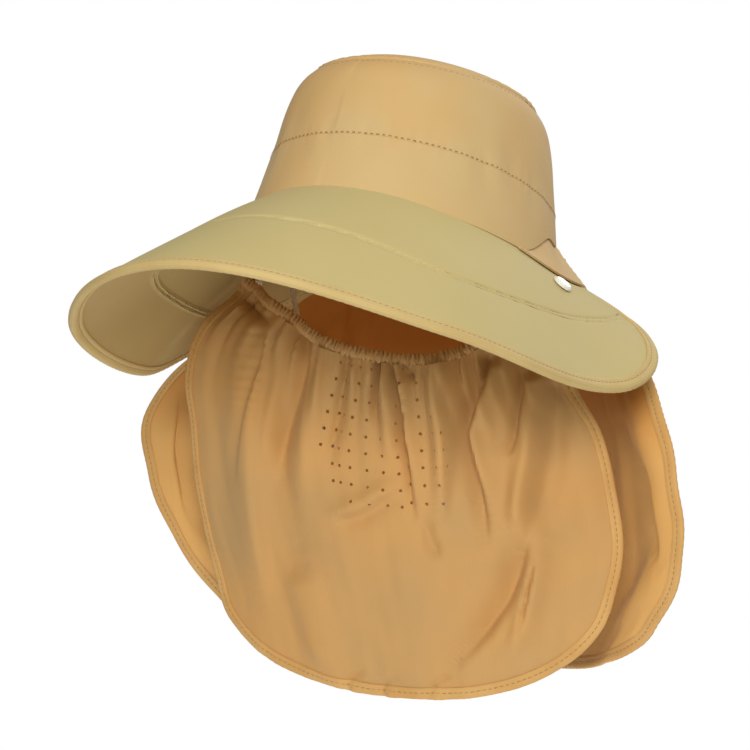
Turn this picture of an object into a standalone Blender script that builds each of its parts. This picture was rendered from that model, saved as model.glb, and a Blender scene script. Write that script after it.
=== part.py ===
"""A wide-brimmed fishing hat with a perforated face veil and a neck flap, as it hangs when a head holds it up.

Metres, +Z up. The front of the hat faces -Y, and the wearer's left is +X. The origin is the centre of the
oval head opening, where the crown meets the visor. The crown and the visor tilt back about X, as a worn hat
does, and the veil and the flap hang straight down. Angles round the crown run from 0 at the front to 180 at
the back, positive on the wearer's left.
"""

import math

import bmesh
import bpy
import numpy as np

# Clearance between neighbouring pieces, and the thickness of each material
GAP = 0.0003
BINDING_GAP = 0.0004
CROWN_WALL = 0.0016
VISOR_WALL = 0.0028
CLOTH_WALL = 0.0012
ELASTIC_WALL = 0.0011

# Head opening and crown, in the crown's own tilted frame
OPENING_HALF_WIDTH = 0.082
OPENING_HALF_LENGTH = 0.097
CROWN_TILT = math.radians(16)
CROWN_HEIGHT = 0.097
TIP_SEAM_HEIGHT = 0.083
BAND_SEAM_HEIGHT = 0.030
BAND_SEAM_RISE = 0.006
CROWN_STEPS = 36

# Where the visor meets the crown: the front arches up and the sides come down
JOIN_TILT = 0.004
JOIN_ARCH = 0.0043
REAR_SEAM_HEIGHT = 0.009
REAR_SEAM_FROM = math.radians(78)
REAR_SEAM_FULL = math.radians(104)

# Visor
VISOR_END = math.radians(114)
VISOR_FRONT_WIDTH = 0.134
VISOR_DROOP = math.radians(50)
VISOR_CROWNING = 0.0025
VISOR_STEPS = 48
VISOR_ROWS = 4
VISOR_BINDING_WIDTH = 0.0065
VISOR_BINDING_HEIGHT = 0.0046

# Snap buttons through the visor's rear ends
SNAP_ANGLE = math.radians(91)
SNAP_INSET_SHARE = 0.157
SNAP_INSET = VISOR_FRONT_WIDTH * SNAP_INSET_SHARE
SNAP_CAP_RADIUS = 0.0056
SNAP_CAP_HEIGHT = 0.0019
SNAP_POST_RADIUS = 0.0018
SNAP_SIDES = 14

# Folded corners of the flap over the visor's rear ends
CORNER_REACH = 0.012
CORNER_START = REAR_SEAM_FROM + math.radians(7)
CORNER_END = VISOR_END - math.radians(5)
CORNER_STEPS = 8
CORNER_ROWS = 3

# Neck flap, measured down from the origin
FLAP_DROP = 0.243
FLAP_HALF_WIDTH = 0.160
FLAP_BACK_REACH = 0.112
FLAP_CORNER_DEPTH = 0.206
FLAP_TOP_ANGLE = VISOR_END + math.radians(1.5)
FLAP_STEPS = 30
FLAP_ROWS = 12
FLAP_ROW_CROWDING = 1.25

# Face veil, measured down from the origin
VEIL_DROP = 0.240
VEIL_HALF_WIDTH = 0.119
VEIL_SWAY = 0.014
VEIL_BULGE = 0.050
VEIL_TURN = math.radians(10)
VEIL_TOP_DEPTH = 0.030
VEIL_TOP_SLANT = 0.006
VEIL_SAG = 0.0325
VEIL_CORNER_DEPTH = 0.193
VEIL_COLUMNS = 28
PERFORATION_RADIUS = 0.0009
PERFORATION_SIDES = 5

# Binding round the free edges of the cloth, and the gathered casing along the veil's top
CLOTH_BINDING_WIDTH = 0.0055
CLOTH_BINDING_HEIGHT = 0.0024
CASING_RADIUS = 0.0024
CASING_RUFFLE = 0.0008
CASING_STEPS_PER_COLUMN = 2
CASING_LIFT = CASING_RADIUS + CASING_RUFFLE / 2 + 2 * GAP

# Elastic that hangs the veil's top corners from inside the crown
HANGER_WIDTH = 0.0055
HANGER_ANGLE = math.radians(80)
HANGER_REACH = 0.008
HANGER_PLACE = 0.97
HANGER_STEPS = 3

# Chin strap, which hangs in one loop from inside the crown's sides
STRAP_WIDTH = 0.0042
STRAP_ANGLE = math.radians(93)
STRAP_REACH = 0.008
STRAP_DROP = 0.150
STRAP_FORWARD = 0.012
STRAP_FULLNESS = 2.2
STRAP_STEPS = 18

# Crown profile: height as a share of the tip seam's height, breadth as a share of the opening
CROWN_PROFILE = (
    # (height, breadth)
    (-0.15, 1.030),
    (0.00, 1.000),
    (0.36, 0.925),
    (0.70, 0.868),
    (0.90, 0.815),
    (1.00, 0.765),
)

# Visor, by the share of the half turn from front to rear end: width over front width, droop over VISOR_DROOP.
# The first row mirrors the third, so that the front runs level across the middle.
VISOR_SHAPE = (
    # (turn, width, droop)
    (-0.35, 0.890, 0.86),
    (0.00, 1.000, 0.65),
    (0.35, 0.890, 0.86),
    (0.70, 0.750, 0.98),
    (1.00, 0.680, 0.45),
)
VISOR_ROUNDING_FROM = 0.74
VISOR_END_SHARE = 0.25

# Flap outline by the share of its drop: breadth over half width on the wearer's right and left, and how far
# back the edge and the middle are over FLAP_BACK_REACH
FLAP_SHAPE = (
    # (depth, right, left, edge_reach, back_reach)
    (0.09, 0.450, 0.450, 0.52, 0.880),
    (0.20, 0.700, 0.640, 0.50, 0.920),
    (0.30, 1.020, 0.840, 0.31, 0.960),
    (0.42, 1.090, 0.970, 0.10, 1.000),
    (0.56, 1.070, 1.000, 0.06, 1.010),
    (0.70, 0.980, 0.980, 0.08, 1.000),
    (0.82, 0.860, 0.880, 0.15, 0.985),
    (1.00, 0.640, 0.660, 0.33, 0.960),
)
FLAP_HEM_POWER = 2.0
FLAP_HEM_ROUNDING = 0.54

# Folds of the flap: place from the wearer's right (-1) to left (+1), breadth, depth over FLAP_FOLD, start
FLAP_FOLD = 0.008
FLAP_FOLDS = (
    # (place, breadth, depth, start)
    (-0.82, 0.10, 0.80, 0.30),
    (-0.52, 0.13, -0.90, 0.25),
    (-0.26, 0.10, 0.80, 0.15),
    (0.00, 0.12, -0.70, 0.10),
    (0.24, 0.10, 0.85, 0.15),
    (0.50, 0.13, -0.90, 0.25),
    (0.78, 0.09, 1.10, 0.30),
)

# Veil outline by the share of its drop: breadth over half width on the wearer's right and left, and how far
# the edge and the middle reach forward over VEIL_BULGE
VEIL_SHAPE = (
    # (depth, right, left, edge_reach, centre_reach)
    (0.12, 0.76, 0.72, 0.20, 0.80),
    (0.20, 0.92, 0.76, 0.34, 0.88),
    (0.31, 0.99, 0.80, 0.32, 0.98),
    (0.42, 1.01, 0.93, 0.26, 1.06),
    (0.56, 0.99, 1.00, 0.24, 1.02),
    (0.68, 0.93, 0.99, 0.24, 0.95),
    (0.80, 0.84, 0.91, 0.28, 0.88),
    (1.00, 0.80, 0.88, 0.34, 0.72),
)
VEIL_SAG_POWER = 1.8
VEIL_HEM_POWER = 2.4
VEIL_HEM_ROUNDING = 0.50

# Folds of the veil: place from the wearer's right (-1) to left (+1), breadth, depth over VEIL_FOLD, start, end
VEIL_FOLD = 0.006
VEIL_FOLDS = (
    # (place, breadth, depth, start, end)
    (-0.86, 0.06, -0.9, 0.00, 0.80),
    (-0.70, 0.08, 1.0, 0.00, 0.90),
    (-0.52, 0.07, -0.9, 0.00, 1.10),
    (-0.30, 0.09, 0.5, 0.00, 0.60),
    (0.30, 0.08, 0.5, 0.00, 0.50),
    (0.44, 0.06, -0.9, 0.00, 0.45),
    (0.60, 0.09, 1.0, 0.00, 1.10),
    (0.80, 0.08, -0.8, 0.15, 1.10),
)
GATHER_DEPTH = 0.0024
GATHER_REACH = 0.16
# How far the gather draws the cloth toward the middle, everywhere and more on the right under the casing
VEIL_DRAW = 0.12
VEIL_DRAW_TOP = 0.22
VEIL_DRAW_REACH = 0.25

# Veil rows, as shares of the way down from casing to hem: one fine row for each row of holes
VEIL_TOP_ROWS = (0.0,)
HOLE_ROW_COUNT = 9
HOLE_ROWS_END = 0.457
VEIL_LOWER_ROWS = 5
# How many holes each row has, from the top row down, and the first column of each, counted from the middle
HOLE_ROWS = (
    # (first, count)
    (-4, 8),
    (-4, 9),
    (-4, 9),
    (-5, 10),
    (-5, 11),
    (-5, 11),
    (-5, 10),
    (-5, 10),
    (-3, 7),
)

COLOURS = {
    # (red, green, blue), roughness
    "crown_fabric": ((0.62, 0.42, 0.19), 0.75),
    "visor_fabric": ((0.58, 0.44, 0.20), 0.70),
    "veil_fabric": ((0.60, 0.38, 0.16), 0.70),
    "binding_tape": ((0.62, 0.43, 0.20), 0.75),
    "white_elastic": ((0.80, 0.80, 0.76), 0.60),
    "snap_plastic": ((0.86, 0.87, 0.82), 0.35),
}


def read(table, x, column):
    """A smooth curve through one column of a table whose first column rises."""
    xs = [row[0] for row in table]
    ys = [row[column] for row in table]
    x = min(max(x, xs[0]), xs[-1])
    i = next(k for k in range(len(xs) - 1) if x <= xs[k + 1])

    def slope(k):
        low, high = max(k - 1, 0), min(k + 1, len(xs) - 1)
        return (ys[high] - ys[low]) / (xs[high] - xs[low])

    span = xs[i + 1] - xs[i]
    u = (x - xs[i]) / span
    return (
        ys[i] * (1 + 2 * u) * (1 - u) ** 2
        + ys[i + 1] * u * u * (3 - 2 * u)
        + span * (slope(i) * u * (1 - u) ** 2 + slope(i + 1) * u * u * (u - 1))
    )


def ease(x):
    """0 below 0, 1 above 1, and smooth between."""
    x = min(max(x, 0.0), 1.0)
    return x * x * (3 - 2 * x)


def bump(x, centre, breadth):
    return math.exp(-(((x - centre) / breadth) ** 2))


def unit(v):
    return v / np.linalg.norm(v)


def tilted(x, y, z):
    """A point of the crown's own frame, in the hat's frame."""
    c, s = math.cos(CROWN_TILT), math.sin(CROWN_TILT)
    return np.array([x, y * c + z * s, z * c - y * s])


def turned(x, y, z, angle):
    """A point turned about the vertical axis."""
    c, s = math.cos(angle), math.sin(angle)
    return np.array([x * c - y * s, x * s + y * c, z])


# Crown


def crown_point(angle, height, breadth=None):
    """On the crown's middle surface, in the hat's frame."""
    if breadth is None:
        breadth = read(CROWN_PROFILE, height / TIP_SEAM_HEIGHT, 1)
    return tilted(
        OPENING_HALF_WIDTH * breadth * math.sin(angle),
        -OPENING_HALF_LENGTH * breadth * math.cos(angle),
        height,
    )


def join_height(angle):
    """Height of the line where the visor meets the crown."""
    return JOIN_TILT * math.cos(angle) + JOIN_ARCH * (math.cos(2 * angle) - 1)


def band_foot(angle):
    """Height of the crown band's lower edge: on the visor in front, on the flap behind."""
    off_front = abs(math.remainder(angle, 2 * math.pi))
    rise = ease((off_front - REAR_SEAM_FROM) / (REAR_SEAM_FULL - REAR_SEAM_FROM))
    return join_height(angle) * (1 - rise) + REAR_SEAM_HEIGHT * rise


def band_seam(angle):
    return BAND_SEAM_HEIGHT + BAND_SEAM_RISE * math.cos(angle)


def round_angles(steps):
    return [2 * math.pi * i / steps for i in range(steps)]


def crown_rows(low, high, rows):
    """A ring of points for each row, from one height function to another."""
    grid = []
    for r in range(rows + 1):
        share = r / rows
        ring = []
        for angle in round_angles(CROWN_STEPS):
            height = low(angle) * (1 - share) + high(angle) * share
            ring.append(crown_point(angle, height))
        grid.append(ring)
    return np.array(grid)


def tip_rows():
    """Rings of the domed tip, from its seam to just short of its middle."""
    edge = read(CROWN_PROFILE, 1.0, 1)
    grid = []
    for share in (0.0, 0.14, 0.34, 0.62):
        rise = math.sin(math.pi / 2 * share**0.75)
        foot = TIP_SEAM_HEIGHT + CROWN_WALL / 2 + GAP
        height = foot + (CROWN_HEIGHT - foot) * rise
        breadth = edge * (1 - share)
        grid.append([crown_point(a, height, breadth) for a in round_angles(CROWN_STEPS)])
    return np.array(grid)


# Visor


def visor_frame(angle):
    """(inner point, unit vector out along the visor, width there), in the hat's frame."""
    turn = abs(angle) / VISOR_END
    width = VISOR_FRONT_WIDTH * read(VISOR_SHAPE, turn, 1)
    end = max(0.0, (turn - VISOR_ROUNDING_FROM) / (1 - VISOR_ROUNDING_FROM))
    width *= math.sqrt(1 - (1 - VISOR_END_SHARE**2) * end * end)
    droop = VISOR_DROOP * read(VISOR_SHAPE, turn, 2)
    out = unit(
        np.array(
            [math.sin(angle) / OPENING_HALF_WIDTH, -math.cos(angle) / OPENING_HALF_LENGTH, 0]
        )
    )
    along = out * math.cos(droop) - np.array([0, 0, math.sin(droop)])
    height = join_height(angle) - VISOR_WALL / 2 - GAP
    inner = crown_point(angle, height, 1.0)
    return inner, tilted(*along), width


def visor_point(angle, distance):
    """On the visor's middle surface, this far out from the crown."""
    inner, along, width = visor_frame(angle)
    share = distance / width
    lift = VISOR_CROWNING * 4 * share * (1 - share)
    return inner + along * distance + tilted(0, 0, lift)


def visor_normal(angle, distance):
    """The unit vector up out of the visor."""
    here = visor_point(angle, distance)
    outwards = visor_point(angle, distance + 0.004) - here
    around = visor_point(angle + 0.05, distance) - here
    normal = unit(np.cross(outwards, around))
    return normal if normal[2] > 0 else -normal


def visor_rows():
    grid = []
    for r in range(VISOR_ROWS + 1):
        row = []
        for i in range(VISOR_STEPS + 1):
            angle = VISOR_END * (2 * i / VISOR_STEPS - 1)
            width = visor_frame(angle)[2] - VISOR_BINDING_WIDTH
            row.append(visor_point(angle, width * r / VISOR_ROWS))
        grid.append(row)
    return np.array(grid)


# Neck flap


def flap_hem_depth(place):
    """How far down the flap's lower edge is, at a place from -1 to 1 across it."""
    low = FLAP_DROP - FLAP_CORNER_DEPTH
    return FLAP_CORNER_DEPTH + low * (1 - abs(place) ** FLAP_HEM_POWER) ** FLAP_HEM_ROUNDING


def flap_point(place, down):
    """On the flap: place runs from the wearer's right edge (-1) to the left (+1), down from crown to hem."""
    angle = math.pi - place * (math.pi - FLAP_TOP_ANGLE)
    seam = crown_point(angle, REAR_SEAM_HEIGHT - CROWN_WALL / 2 - GAP, None)
    depth = -seam[2] * (1 - down) + flap_hem_depth(place) * down
    share = depth / FLAP_DROP
    right = read(FLAP_SHAPE, share, 1)
    left = read(FLAP_SHAPE, share, 2)
    breadth = FLAP_HALF_WIDTH * (right + (left - right) * ease((place + 1) / 2))
    bell = 0.5 + 0.5 * math.cos(math.pi * abs(place) ** 1.5)
    edge = FLAP_BACK_REACH * read(FLAP_SHAPE, share, 3)
    back = FLAP_BACK_REACH * read(FLAP_SHAPE, share, 4)
    hang = np.array([breadth * place, edge + (back - edge) * bell, -depth])
    away = unit(np.array([place, 0.8 * bell + 0.15, 0]))
    for centre, width, fold, start in FLAP_FOLDS:
        hang += away * FLAP_FOLD * fold * bump(place, centre, width) * ease((down - start) * 1.6)
    leave = ease(down / 0.22)
    return seam * (1 - leave) + hang * leave


def flap_rows():
    grid = []
    for r in range(FLAP_ROWS + 1):
        down = (r / FLAP_ROWS) ** FLAP_ROW_CROWDING
        grid.append(
            [flap_point(2 * i / FLAP_STEPS - 1, down) for i in range(FLAP_STEPS + 1)]
        )
    return np.array(grid)


def corner_rows(side):
    """The folded corner between the crown band and the visor's rear end, on one side."""
    grid = []
    for r in range(CORNER_ROWS + 1):
        share = r / CORNER_ROWS
        row = []
        for i in range(CORNER_STEPS + 1):
            angle = CORNER_START + (CORNER_END - CORNER_START) * i / CORNER_STEPS
            top = crown_point(angle, band_foot(angle) - CROWN_WALL / 2 - GAP)
            reach = CORNER_REACH * (0.35 + 0.65 * i / CORNER_STEPS)
            lift = VISOR_WALL / 2 + CLOTH_WALL / 2 + 2 * GAP
            foot = visor_point(angle, reach) + visor_normal(angle, reach) * lift
            belly = tilted(math.sin(angle), 0, 0.4) * 0.0025 * math.sin(math.pi * share)
            point = top * (1 - share) + foot * share + belly
            row.append(point * np.array([side, 1, 1]))
        grid.append(row)
    return np.array(grid)


# Face veil


def veil_top_depth(place):
    return VEIL_TOP_DEPTH + VEIL_TOP_SLANT * place + VEIL_SAG * (1 - abs(place) ** VEIL_SAG_POWER)


def veil_hem_depth(place):
    low = VEIL_DROP - VEIL_CORNER_DEPTH
    inward = max(0.0, 1 - abs(place) ** VEIL_HEM_POWER)
    return VEIL_CORNER_DEPTH + low * inward**VEIL_HEM_ROUNDING


def veil_point(place, down):
    """On the veil: place runs from the wearer's right edge (-1) to the left (+1), down from casing to hem."""
    depth = veil_top_depth(place) * (1 - down) + veil_hem_depth(place) * down
    share = depth / VEIL_DROP
    right = read(VEIL_SHAPE, share, 1)
    left = read(VEIL_SHAPE, share, 2)
    breadth = VEIL_HALF_WIDTH * (right + (left - right) * ease((place + 1) / 2))
    sway = VEIL_SWAY * share * (1 - place * place)
    edge = VEIL_BULGE * read(VEIL_SHAPE, share, 3)
    centre = VEIL_BULGE * read(VEIL_SHAPE, share, 4)
    forward = edge + (centre - edge) * (1 - place * place)
    for middle, width, fold, start, end in VEIL_FOLDS:
        fade = ease((down - start + 0.25) * 4) * (1 - ease((down - end + 0.35) / 0.35))
        forward += VEIL_FOLD * fold * bump(place, middle, width) * fade
    return turned(breadth * place + sway, -forward, -depth, VEIL_TURN)


def drawn(place, down):
    """Where a thread of the veil's cloth lies across it, drawn toward the middle by the gather."""
    top = VEIL_DRAW_TOP * max(0.0, 1 - down / VEIL_DRAW_REACH) if place < 0 else 0.0
    return place * (1 - (VEIL_DRAW + top) * (1 - place * place) ** 2)


def veil_shares():
    """The rows of the veil's grid, as shares of the way down."""
    top = VEIL_TOP_ROWS[-1]
    holes = [
        top + (HOLE_ROWS_END - top) * (i + 1) / HOLE_ROW_COUNT
        for i in range(HOLE_ROW_COUNT)
    ]
    lower = [
        HOLE_ROWS_END + (1 - HOLE_ROWS_END) * (i + 1) / VEIL_LOWER_ROWS
        for i in range(VEIL_LOWER_ROWS)
    ]
    return [*VEIL_TOP_ROWS, *holes, *lower]


def veil_rows():
    grid = []
    for down in veil_shares():
        row = []
        for i in range(VEIL_COLUMNS + 1):
            place = 2 * i / VEIL_COLUMNS - 1
            gather = GATHER_DEPTH * (1 - ease(down / GATHER_REACH)) * (1 if i % 2 else -1)
            row.append(veil_point(drawn(place, down), down) + turned(0, gather, 0, VEIL_TURN))
        grid.append(row)
    return np.array(grid)


def veil_holes():
    """The cells of the veil's grid that a hole goes through."""
    middle = VEIL_COLUMNS // 2
    first_row = len(VEIL_TOP_ROWS) - 1
    return {
        (first_row + r, middle + first + k)
        for r, (first, count) in enumerate(HOLE_ROWS)
        for k in range(count)
    }


# Solids from grids and paths


def grid_normals(grid, closed):
    if closed:
        across = np.roll(grid, -1, 1) - np.roll(grid, 1, 1)
    else:
        across = np.gradient(grid, axis=1)
    normals = np.cross(across, np.gradient(grid, axis=0))
    normals /= np.linalg.norm(normals, axis=2)[..., None]
    if not closed:
        normals[-1] = normals[-2]
        normals[:, 0] = normals[:, 1]
        normals[:, -1] = normals[:, -2]
    return normals


def add_object(name, points, faces, material):
    mesh = bpy.data.meshes.new(name)
    mesh.from_pydata([tuple(p) for p in points], [], faces)
    work = bmesh.new()
    work.from_mesh(mesh)
    bmesh.ops.recalc_face_normals(work, faces=work.faces)
    work.to_mesh(mesh)
    work.free()
    mesh.shade_smooth()
    mesh.set_sharp_from_angle(angle=math.radians(40))
    mesh.materials.append(material)
    piece = bpy.data.objects.new(name, mesh)
    bpy.context.scene.collection.objects.link(piece)
    return piece


def zip_rings(outer, inner):
    """Triangles between two rings of (angle, vertex), both sorted by angle."""
    rings = [sorted(outer), sorted(inner)]
    at, faces = [0, 0], []
    full = 2 * math.pi

    def angle(ring, k):
        return rings[ring][k % len(rings[ring])][0] + full * (k // len(rings[ring]))

    def vertex(ring, k):
        return rings[ring][k % len(rings[ring])][1]

    while at[0] < len(outer) or at[1] < len(inner):
        ring = 0 if at[1] >= len(inner) else 1 if at[0] >= len(outer) else None
        if ring is None:
            ring = 0 if angle(0, at[0] + 1) < angle(1, at[1] + 1) else 1
        faces.append(
            (vertex(0, at[0]), vertex(1, at[1]), vertex(ring, at[ring] + 1))
        )
        at[ring] += 1
    return faces


def wall(name, grid, thickness, material, closed=False, domed=False, holes=()):
    """A sheet of this thickness about a grid of points. It may close on itself, be domed over, or have holes."""
    rows, columns = grid.shape[:2]
    normals = grid_normals(grid, closed)
    sides = (grid + normals * thickness / 2, grid - normals * thickness / 2)
    points = [p for side in sides for p in side.reshape(-1, 3)]
    offset = rows * columns
    span = columns if closed else columns - 1
    faces = []
    rims = {}

    def at(side, r, c):
        return side * offset + r * columns + c % columns

    def place_hole(side, r, c, corners):
        a, b, d, e = (points[k] for k in corners)
        width = np.linalg.norm(b - a)
        height = np.linalg.norm(e - a)
        ring = []
        for k in range(PERFORATION_SIDES):
            angle = 2 * math.pi * (k + 0.25) / PERFORATION_SIDES
            u = 0.5 + PERFORATION_RADIUS * math.cos(angle) / width
            v = 0.5 + PERFORATION_RADIUS * math.sin(angle) / height
            points.append(
                a * (1 - u) * (1 - v) + b * u * (1 - v) + d * u * v + e * (1 - u) * v
            )
            ring.append((angle, len(points) - 1))
        quarter = math.pi / 4
        outer = [
            (quarter * k, corner) for k, corner in zip((5, 7, 1, 3), corners, strict=True)
        ]
        rims[(side, r, c)] = [vertex for _, vertex in ring]
        return zip_rings(outer, ring)

    for side in (0, 1):
        for r in range(rows - 1):
            for c in range(span):
                cell = (at(side, r, c), at(side, r, c + 1), at(side, r + 1, c + 1), at(side, r + 1, c))
                faces += place_hole(side, r, c, cell) if (r, c) in holes else [cell]
    for r, c in holes:
        front, back = rims[(0, r, c)], rims[(1, r, c)]
        for k in range(PERFORATION_SIDES):
            after = (k + 1) % PERFORATION_SIDES
            faces.append((front[k], front[after], back[after], back[k]))
    edges = [[(0, c) for c in range(span + 1)]]
    if domed:
        for side in (0, 1):
            points.append(np.mean(sides[side][-1], axis=0) + (0, 0, 0.0018))
            top = len(points) - 1
            faces += [(at(side, rows - 1, c), at(side, rows - 1, c + 1), top) for c in range(span)]
    else:
        edges.append([(rows - 1, c) for c in range(span + 1)])
    if not closed:
        edges += [[(r, 0) for r in range(rows)], [(r, columns - 1) for r in range(rows)]]
    for edge in edges:
        for (r1, c1), (r2, c2) in zip(edge, edge[1:]):
            faces.append((at(0, r1, c1), at(0, r2, c2), at(1, r2, c2), at(1, r1, c1)))
    return add_object(name, points, faces, material)


def swept(name, path, sections, material):
    """A solid with a closed section at each point of a path, and flat ends."""
    points = [p for at, section in zip(path, sections, strict=True) for p in section + at]
    count = len(sections[0])
    faces = [tuple(range(count)), tuple(range(len(points) - count, len(points)))]
    for i in range(len(path) - 1):
        for k in range(count):
            after = (k + 1) % count
            low, high = i * count, (i + 1) * count
            faces.append((low + k, low + after, high + after, high + k))
    return add_object(name, points, faces, material)


def edge_path(grid, first=0):
    """The free edge of an open grid: down its first side from a first row, along its last row, and up again."""
    rows, columns = grid.shape[:2]
    normals = grid_normals(grid, False)
    route = [(r, 0) for r in range(first, rows)]
    route += [(rows - 1, c) for c in range(1, columns)]
    route += [(r, columns - 1) for r in range(rows - 2, first - 1, -1)]
    path = np.array([grid[r, c] for r, c in route])
    normal = np.array([normals[r, c] for r, c in route])
    tangent = np.gradient(path, axis=0)
    out = np.cross(tangent, normal)
    out /= np.linalg.norm(out, axis=1)[:, None]
    middle = grid.reshape(-1, 3).mean(0)
    if np.sum((path - middle) * out) < 0:
        out = -out
    return path, out, normal


def binding(name, grid, width, height, material, first=0):
    """A tape of rounded section along the free edge of a sheet, a small gap clear of it."""
    path, out, normal = edge_path(grid, first)
    profile = (
        # (outwards over width, up over half the height)
        (0.0, 0.80),
        (0.65, 1.0),
        (1.0, 0.0),
        (0.65, -1.0),
        (0.0, -0.80),
    )
    sections = [
        np.array([o * (BINDING_GAP + width * a) + n * height / 2 * b for a, b in profile])
        for o, n in zip(out, normal, strict=True)
    ]
    return swept(name, path, sections, material)


def casing(material):
    """The gathered casing over the elastic, along the veil's top edge."""
    steps = VEIL_COLUMNS * CASING_STEPS_PER_COLUMN
    path, sections = [], []
    for i in range(steps + 1):
        place = 2 * i / steps - 1
        radius = CASING_RADIUS + CASING_RUFFLE * (0.5 if i % 2 else -0.5)
        tangent = veil_point(min(place + 0.01, 1.0), 0) - veil_point(max(place - 0.01, -1.0), 0)
        tangent = unit(tangent)
        side = unit(np.cross(tangent, (0, 0, 1)))
        up = np.cross(side, tangent)
        path.append(veil_point(place, 0.0) + up * CASING_LIFT)
        sections.append(
            np.array(
                [
                    (side * math.cos(a) + up * math.sin(a)) * radius
                    for a in (math.pi * (k + 0.5) / 3 for k in range(6))
                ]
            )
        )
    return swept("veil_casing", path, sections, material)


def smooth_route(points, steps):
    """A smooth path through a few points, with this many steps between each two."""
    points = [np.array(p, float) for p in points]
    ends = [2 * points[0] - points[1], *points, 2 * points[-1] - points[-2]]
    route = []
    for a, b, c, d in zip(ends, ends[1:], ends[2:], ends[3:]):
        for k in range(steps):
            u = k / steps
            route.append(
                0.5
                * (
                    2 * b
                    + (c - a) * u
                    + (2 * a - 5 * b + 4 * c - d) * u**2
                    + (3 * b - a - 3 * c + d) * u**3
                )
            )
    return np.array([*route, points[-1]])


def inside_crown(angle, height):
    """A point of a band that lies against the inside of the crown, and below that clears the visor."""
    wall_there = CROWN_WALL if height > 0 else VISOR_WALL
    clear = wall_there / 2 + ELASTIC_WALL / 2 + 2 * GAP
    breadth = min(read(CROWN_PROFILE, height / TIP_SEAM_HEIGHT, 1), 1.0)
    return crown_point(angle, height, breadth - clear / OPENING_HALF_WIDTH)


def elastic(name, route, width, flats, material):
    """A flat band along a route, with its flat side facing flats at each point."""
    sections = []
    for tangent, flat in zip(np.gradient(route, axis=0), flats, strict=True):
        tangent = unit(tangent)
        flat = unit(flat - tangent * np.dot(flat, tangent))
        wide = np.cross(tangent, flat)
        sections.append(
            np.array(
                [
                    wide * width / 2 * a + flat * ELASTIC_WALL / 2 * b
                    for a, b in ((-1, -1), (1, -1), (1, 1), (-1, 1))
                ]
            )
        )
    return swept(name, route, sections, material)


def veil_hanger(name, side, material):
    """The elastic from the veil's top corner, round the visor's inner edge, up inside the crown."""
    top_of_casing = CASING_LIFT + CASING_RADIUS + CASING_RUFFLE + 2 * GAP
    corner = veil_point(side * HANGER_PLACE, 0.0) + (0, 0, top_of_casing)
    angle = side * HANGER_ANGLE
    foot = band_foot(angle)
    turn = inside_crown(angle, foot - HANGER_REACH * 0.6)
    seat = [inside_crown(angle, foot + HANGER_REACH * k) for k in (0.5, 1.0, 1.5)]
    route = smooth_route([corner, turn, *seat], HANGER_STEPS)
    flats = [np.array([-side, 0.2, 0.0])] * len(route)
    return elastic(name, route, HANGER_WIDTH, flats, material)


def chin_strap(material):
    """A whole loop of elastic from inside the crown's sides, hanging free under the chin."""
    foot = band_foot(STRAP_ANGLE)
    seats = [inside_crown(STRAP_ANGLE, foot + STRAP_REACH * k) for k in (1.5, 1.0, 0.5)]
    start = inside_crown(STRAP_ANGLE, foot - STRAP_REACH)
    across = start[0]
    points = [*seats]
    for k in range(STRAP_STEPS + 1):
        turn = math.cos(math.pi * k / STRAP_STEPS)
        fall = 1 - abs(turn) ** STRAP_FULLNESS
        points.append(start + (across * (turn - 1), -STRAP_FORWARD * fall, -STRAP_DROP * fall))
    points += [p * (-1, 1, 1) for p in reversed(seats)]
    route = smooth_route(points, 1)
    flats = [unit(np.array([p[0] / across, 0.0, 1 - abs(p[0] / across)])) for p in route]
    return elastic("chin_strap", route, STRAP_WIDTH, flats, material)


# Snap buttons


def snap_place(side):
    """(centre on the visor's middle surface, unit vector up out of it)."""
    angle = side * SNAP_ANGLE
    return visor_point(angle, SNAP_INSET), visor_normal(angle, SNAP_INSET)


def turned_solid(name, centre, axis, profile, material=None):
    """A round solid from (radius, height) pairs, with its axis through a centre."""
    across = unit(np.cross(axis, (0.0, 1.0, 0.0)))
    other = np.cross(axis, across)
    points, faces = [], []
    for radius, height in profile:
        for k in range(SNAP_SIDES):
            a = 2 * math.pi * k / SNAP_SIDES
            points.append(
                centre + axis * height + (across * math.cos(a) + other * math.sin(a)) * radius
            )
    for i in range(len(profile) - 1):
        for k in range(SNAP_SIDES):
            after = (k + 1) % SNAP_SIDES
            low, high = i * SNAP_SIDES, (i + 1) * SNAP_SIDES
            faces.append((low + k, low + after, high + after, high + k))
    faces += [tuple(range(SNAP_SIDES)), tuple(range(len(points) - SNAP_SIDES, len(points)))]
    return add_object(name, points, faces, material)


def snap_button(name, side, visor, material, hidden):
    """A cap above the visor and one below, on a post through a hole in it."""
    centre, axis = snap_place(side)
    face = VISOR_WALL / 2 + GAP
    cap = SNAP_CAP_HEIGHT
    profile = (
        (SNAP_CAP_RADIUS * 0.80, -face - cap),
        (SNAP_CAP_RADIUS, -face - cap * 0.6),
        (SNAP_CAP_RADIUS, -face),
        (SNAP_POST_RADIUS, -face),
        (SNAP_POST_RADIUS, face),
        (SNAP_CAP_RADIUS, face),
        (SNAP_CAP_RADIUS, face + cap * 0.55),
        (SNAP_CAP_RADIUS * 0.78, face + cap),
    )
    turned_solid(name, centre, axis, profile, material)
    hole = SNAP_POST_RADIUS + GAP
    reach = VISOR_WALL * 2
    cutter = turned_solid(name + "_hole", centre, axis, ((hole, -reach), (hole, reach)), hidden)
    cutter.hide_render = True
    cutter.display_type = "WIRE"
    cut = visor.modifiers.new(name + "_hole", "BOOLEAN")
    cut.operation = "DIFFERENCE"
    cut.object = cutter


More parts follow.
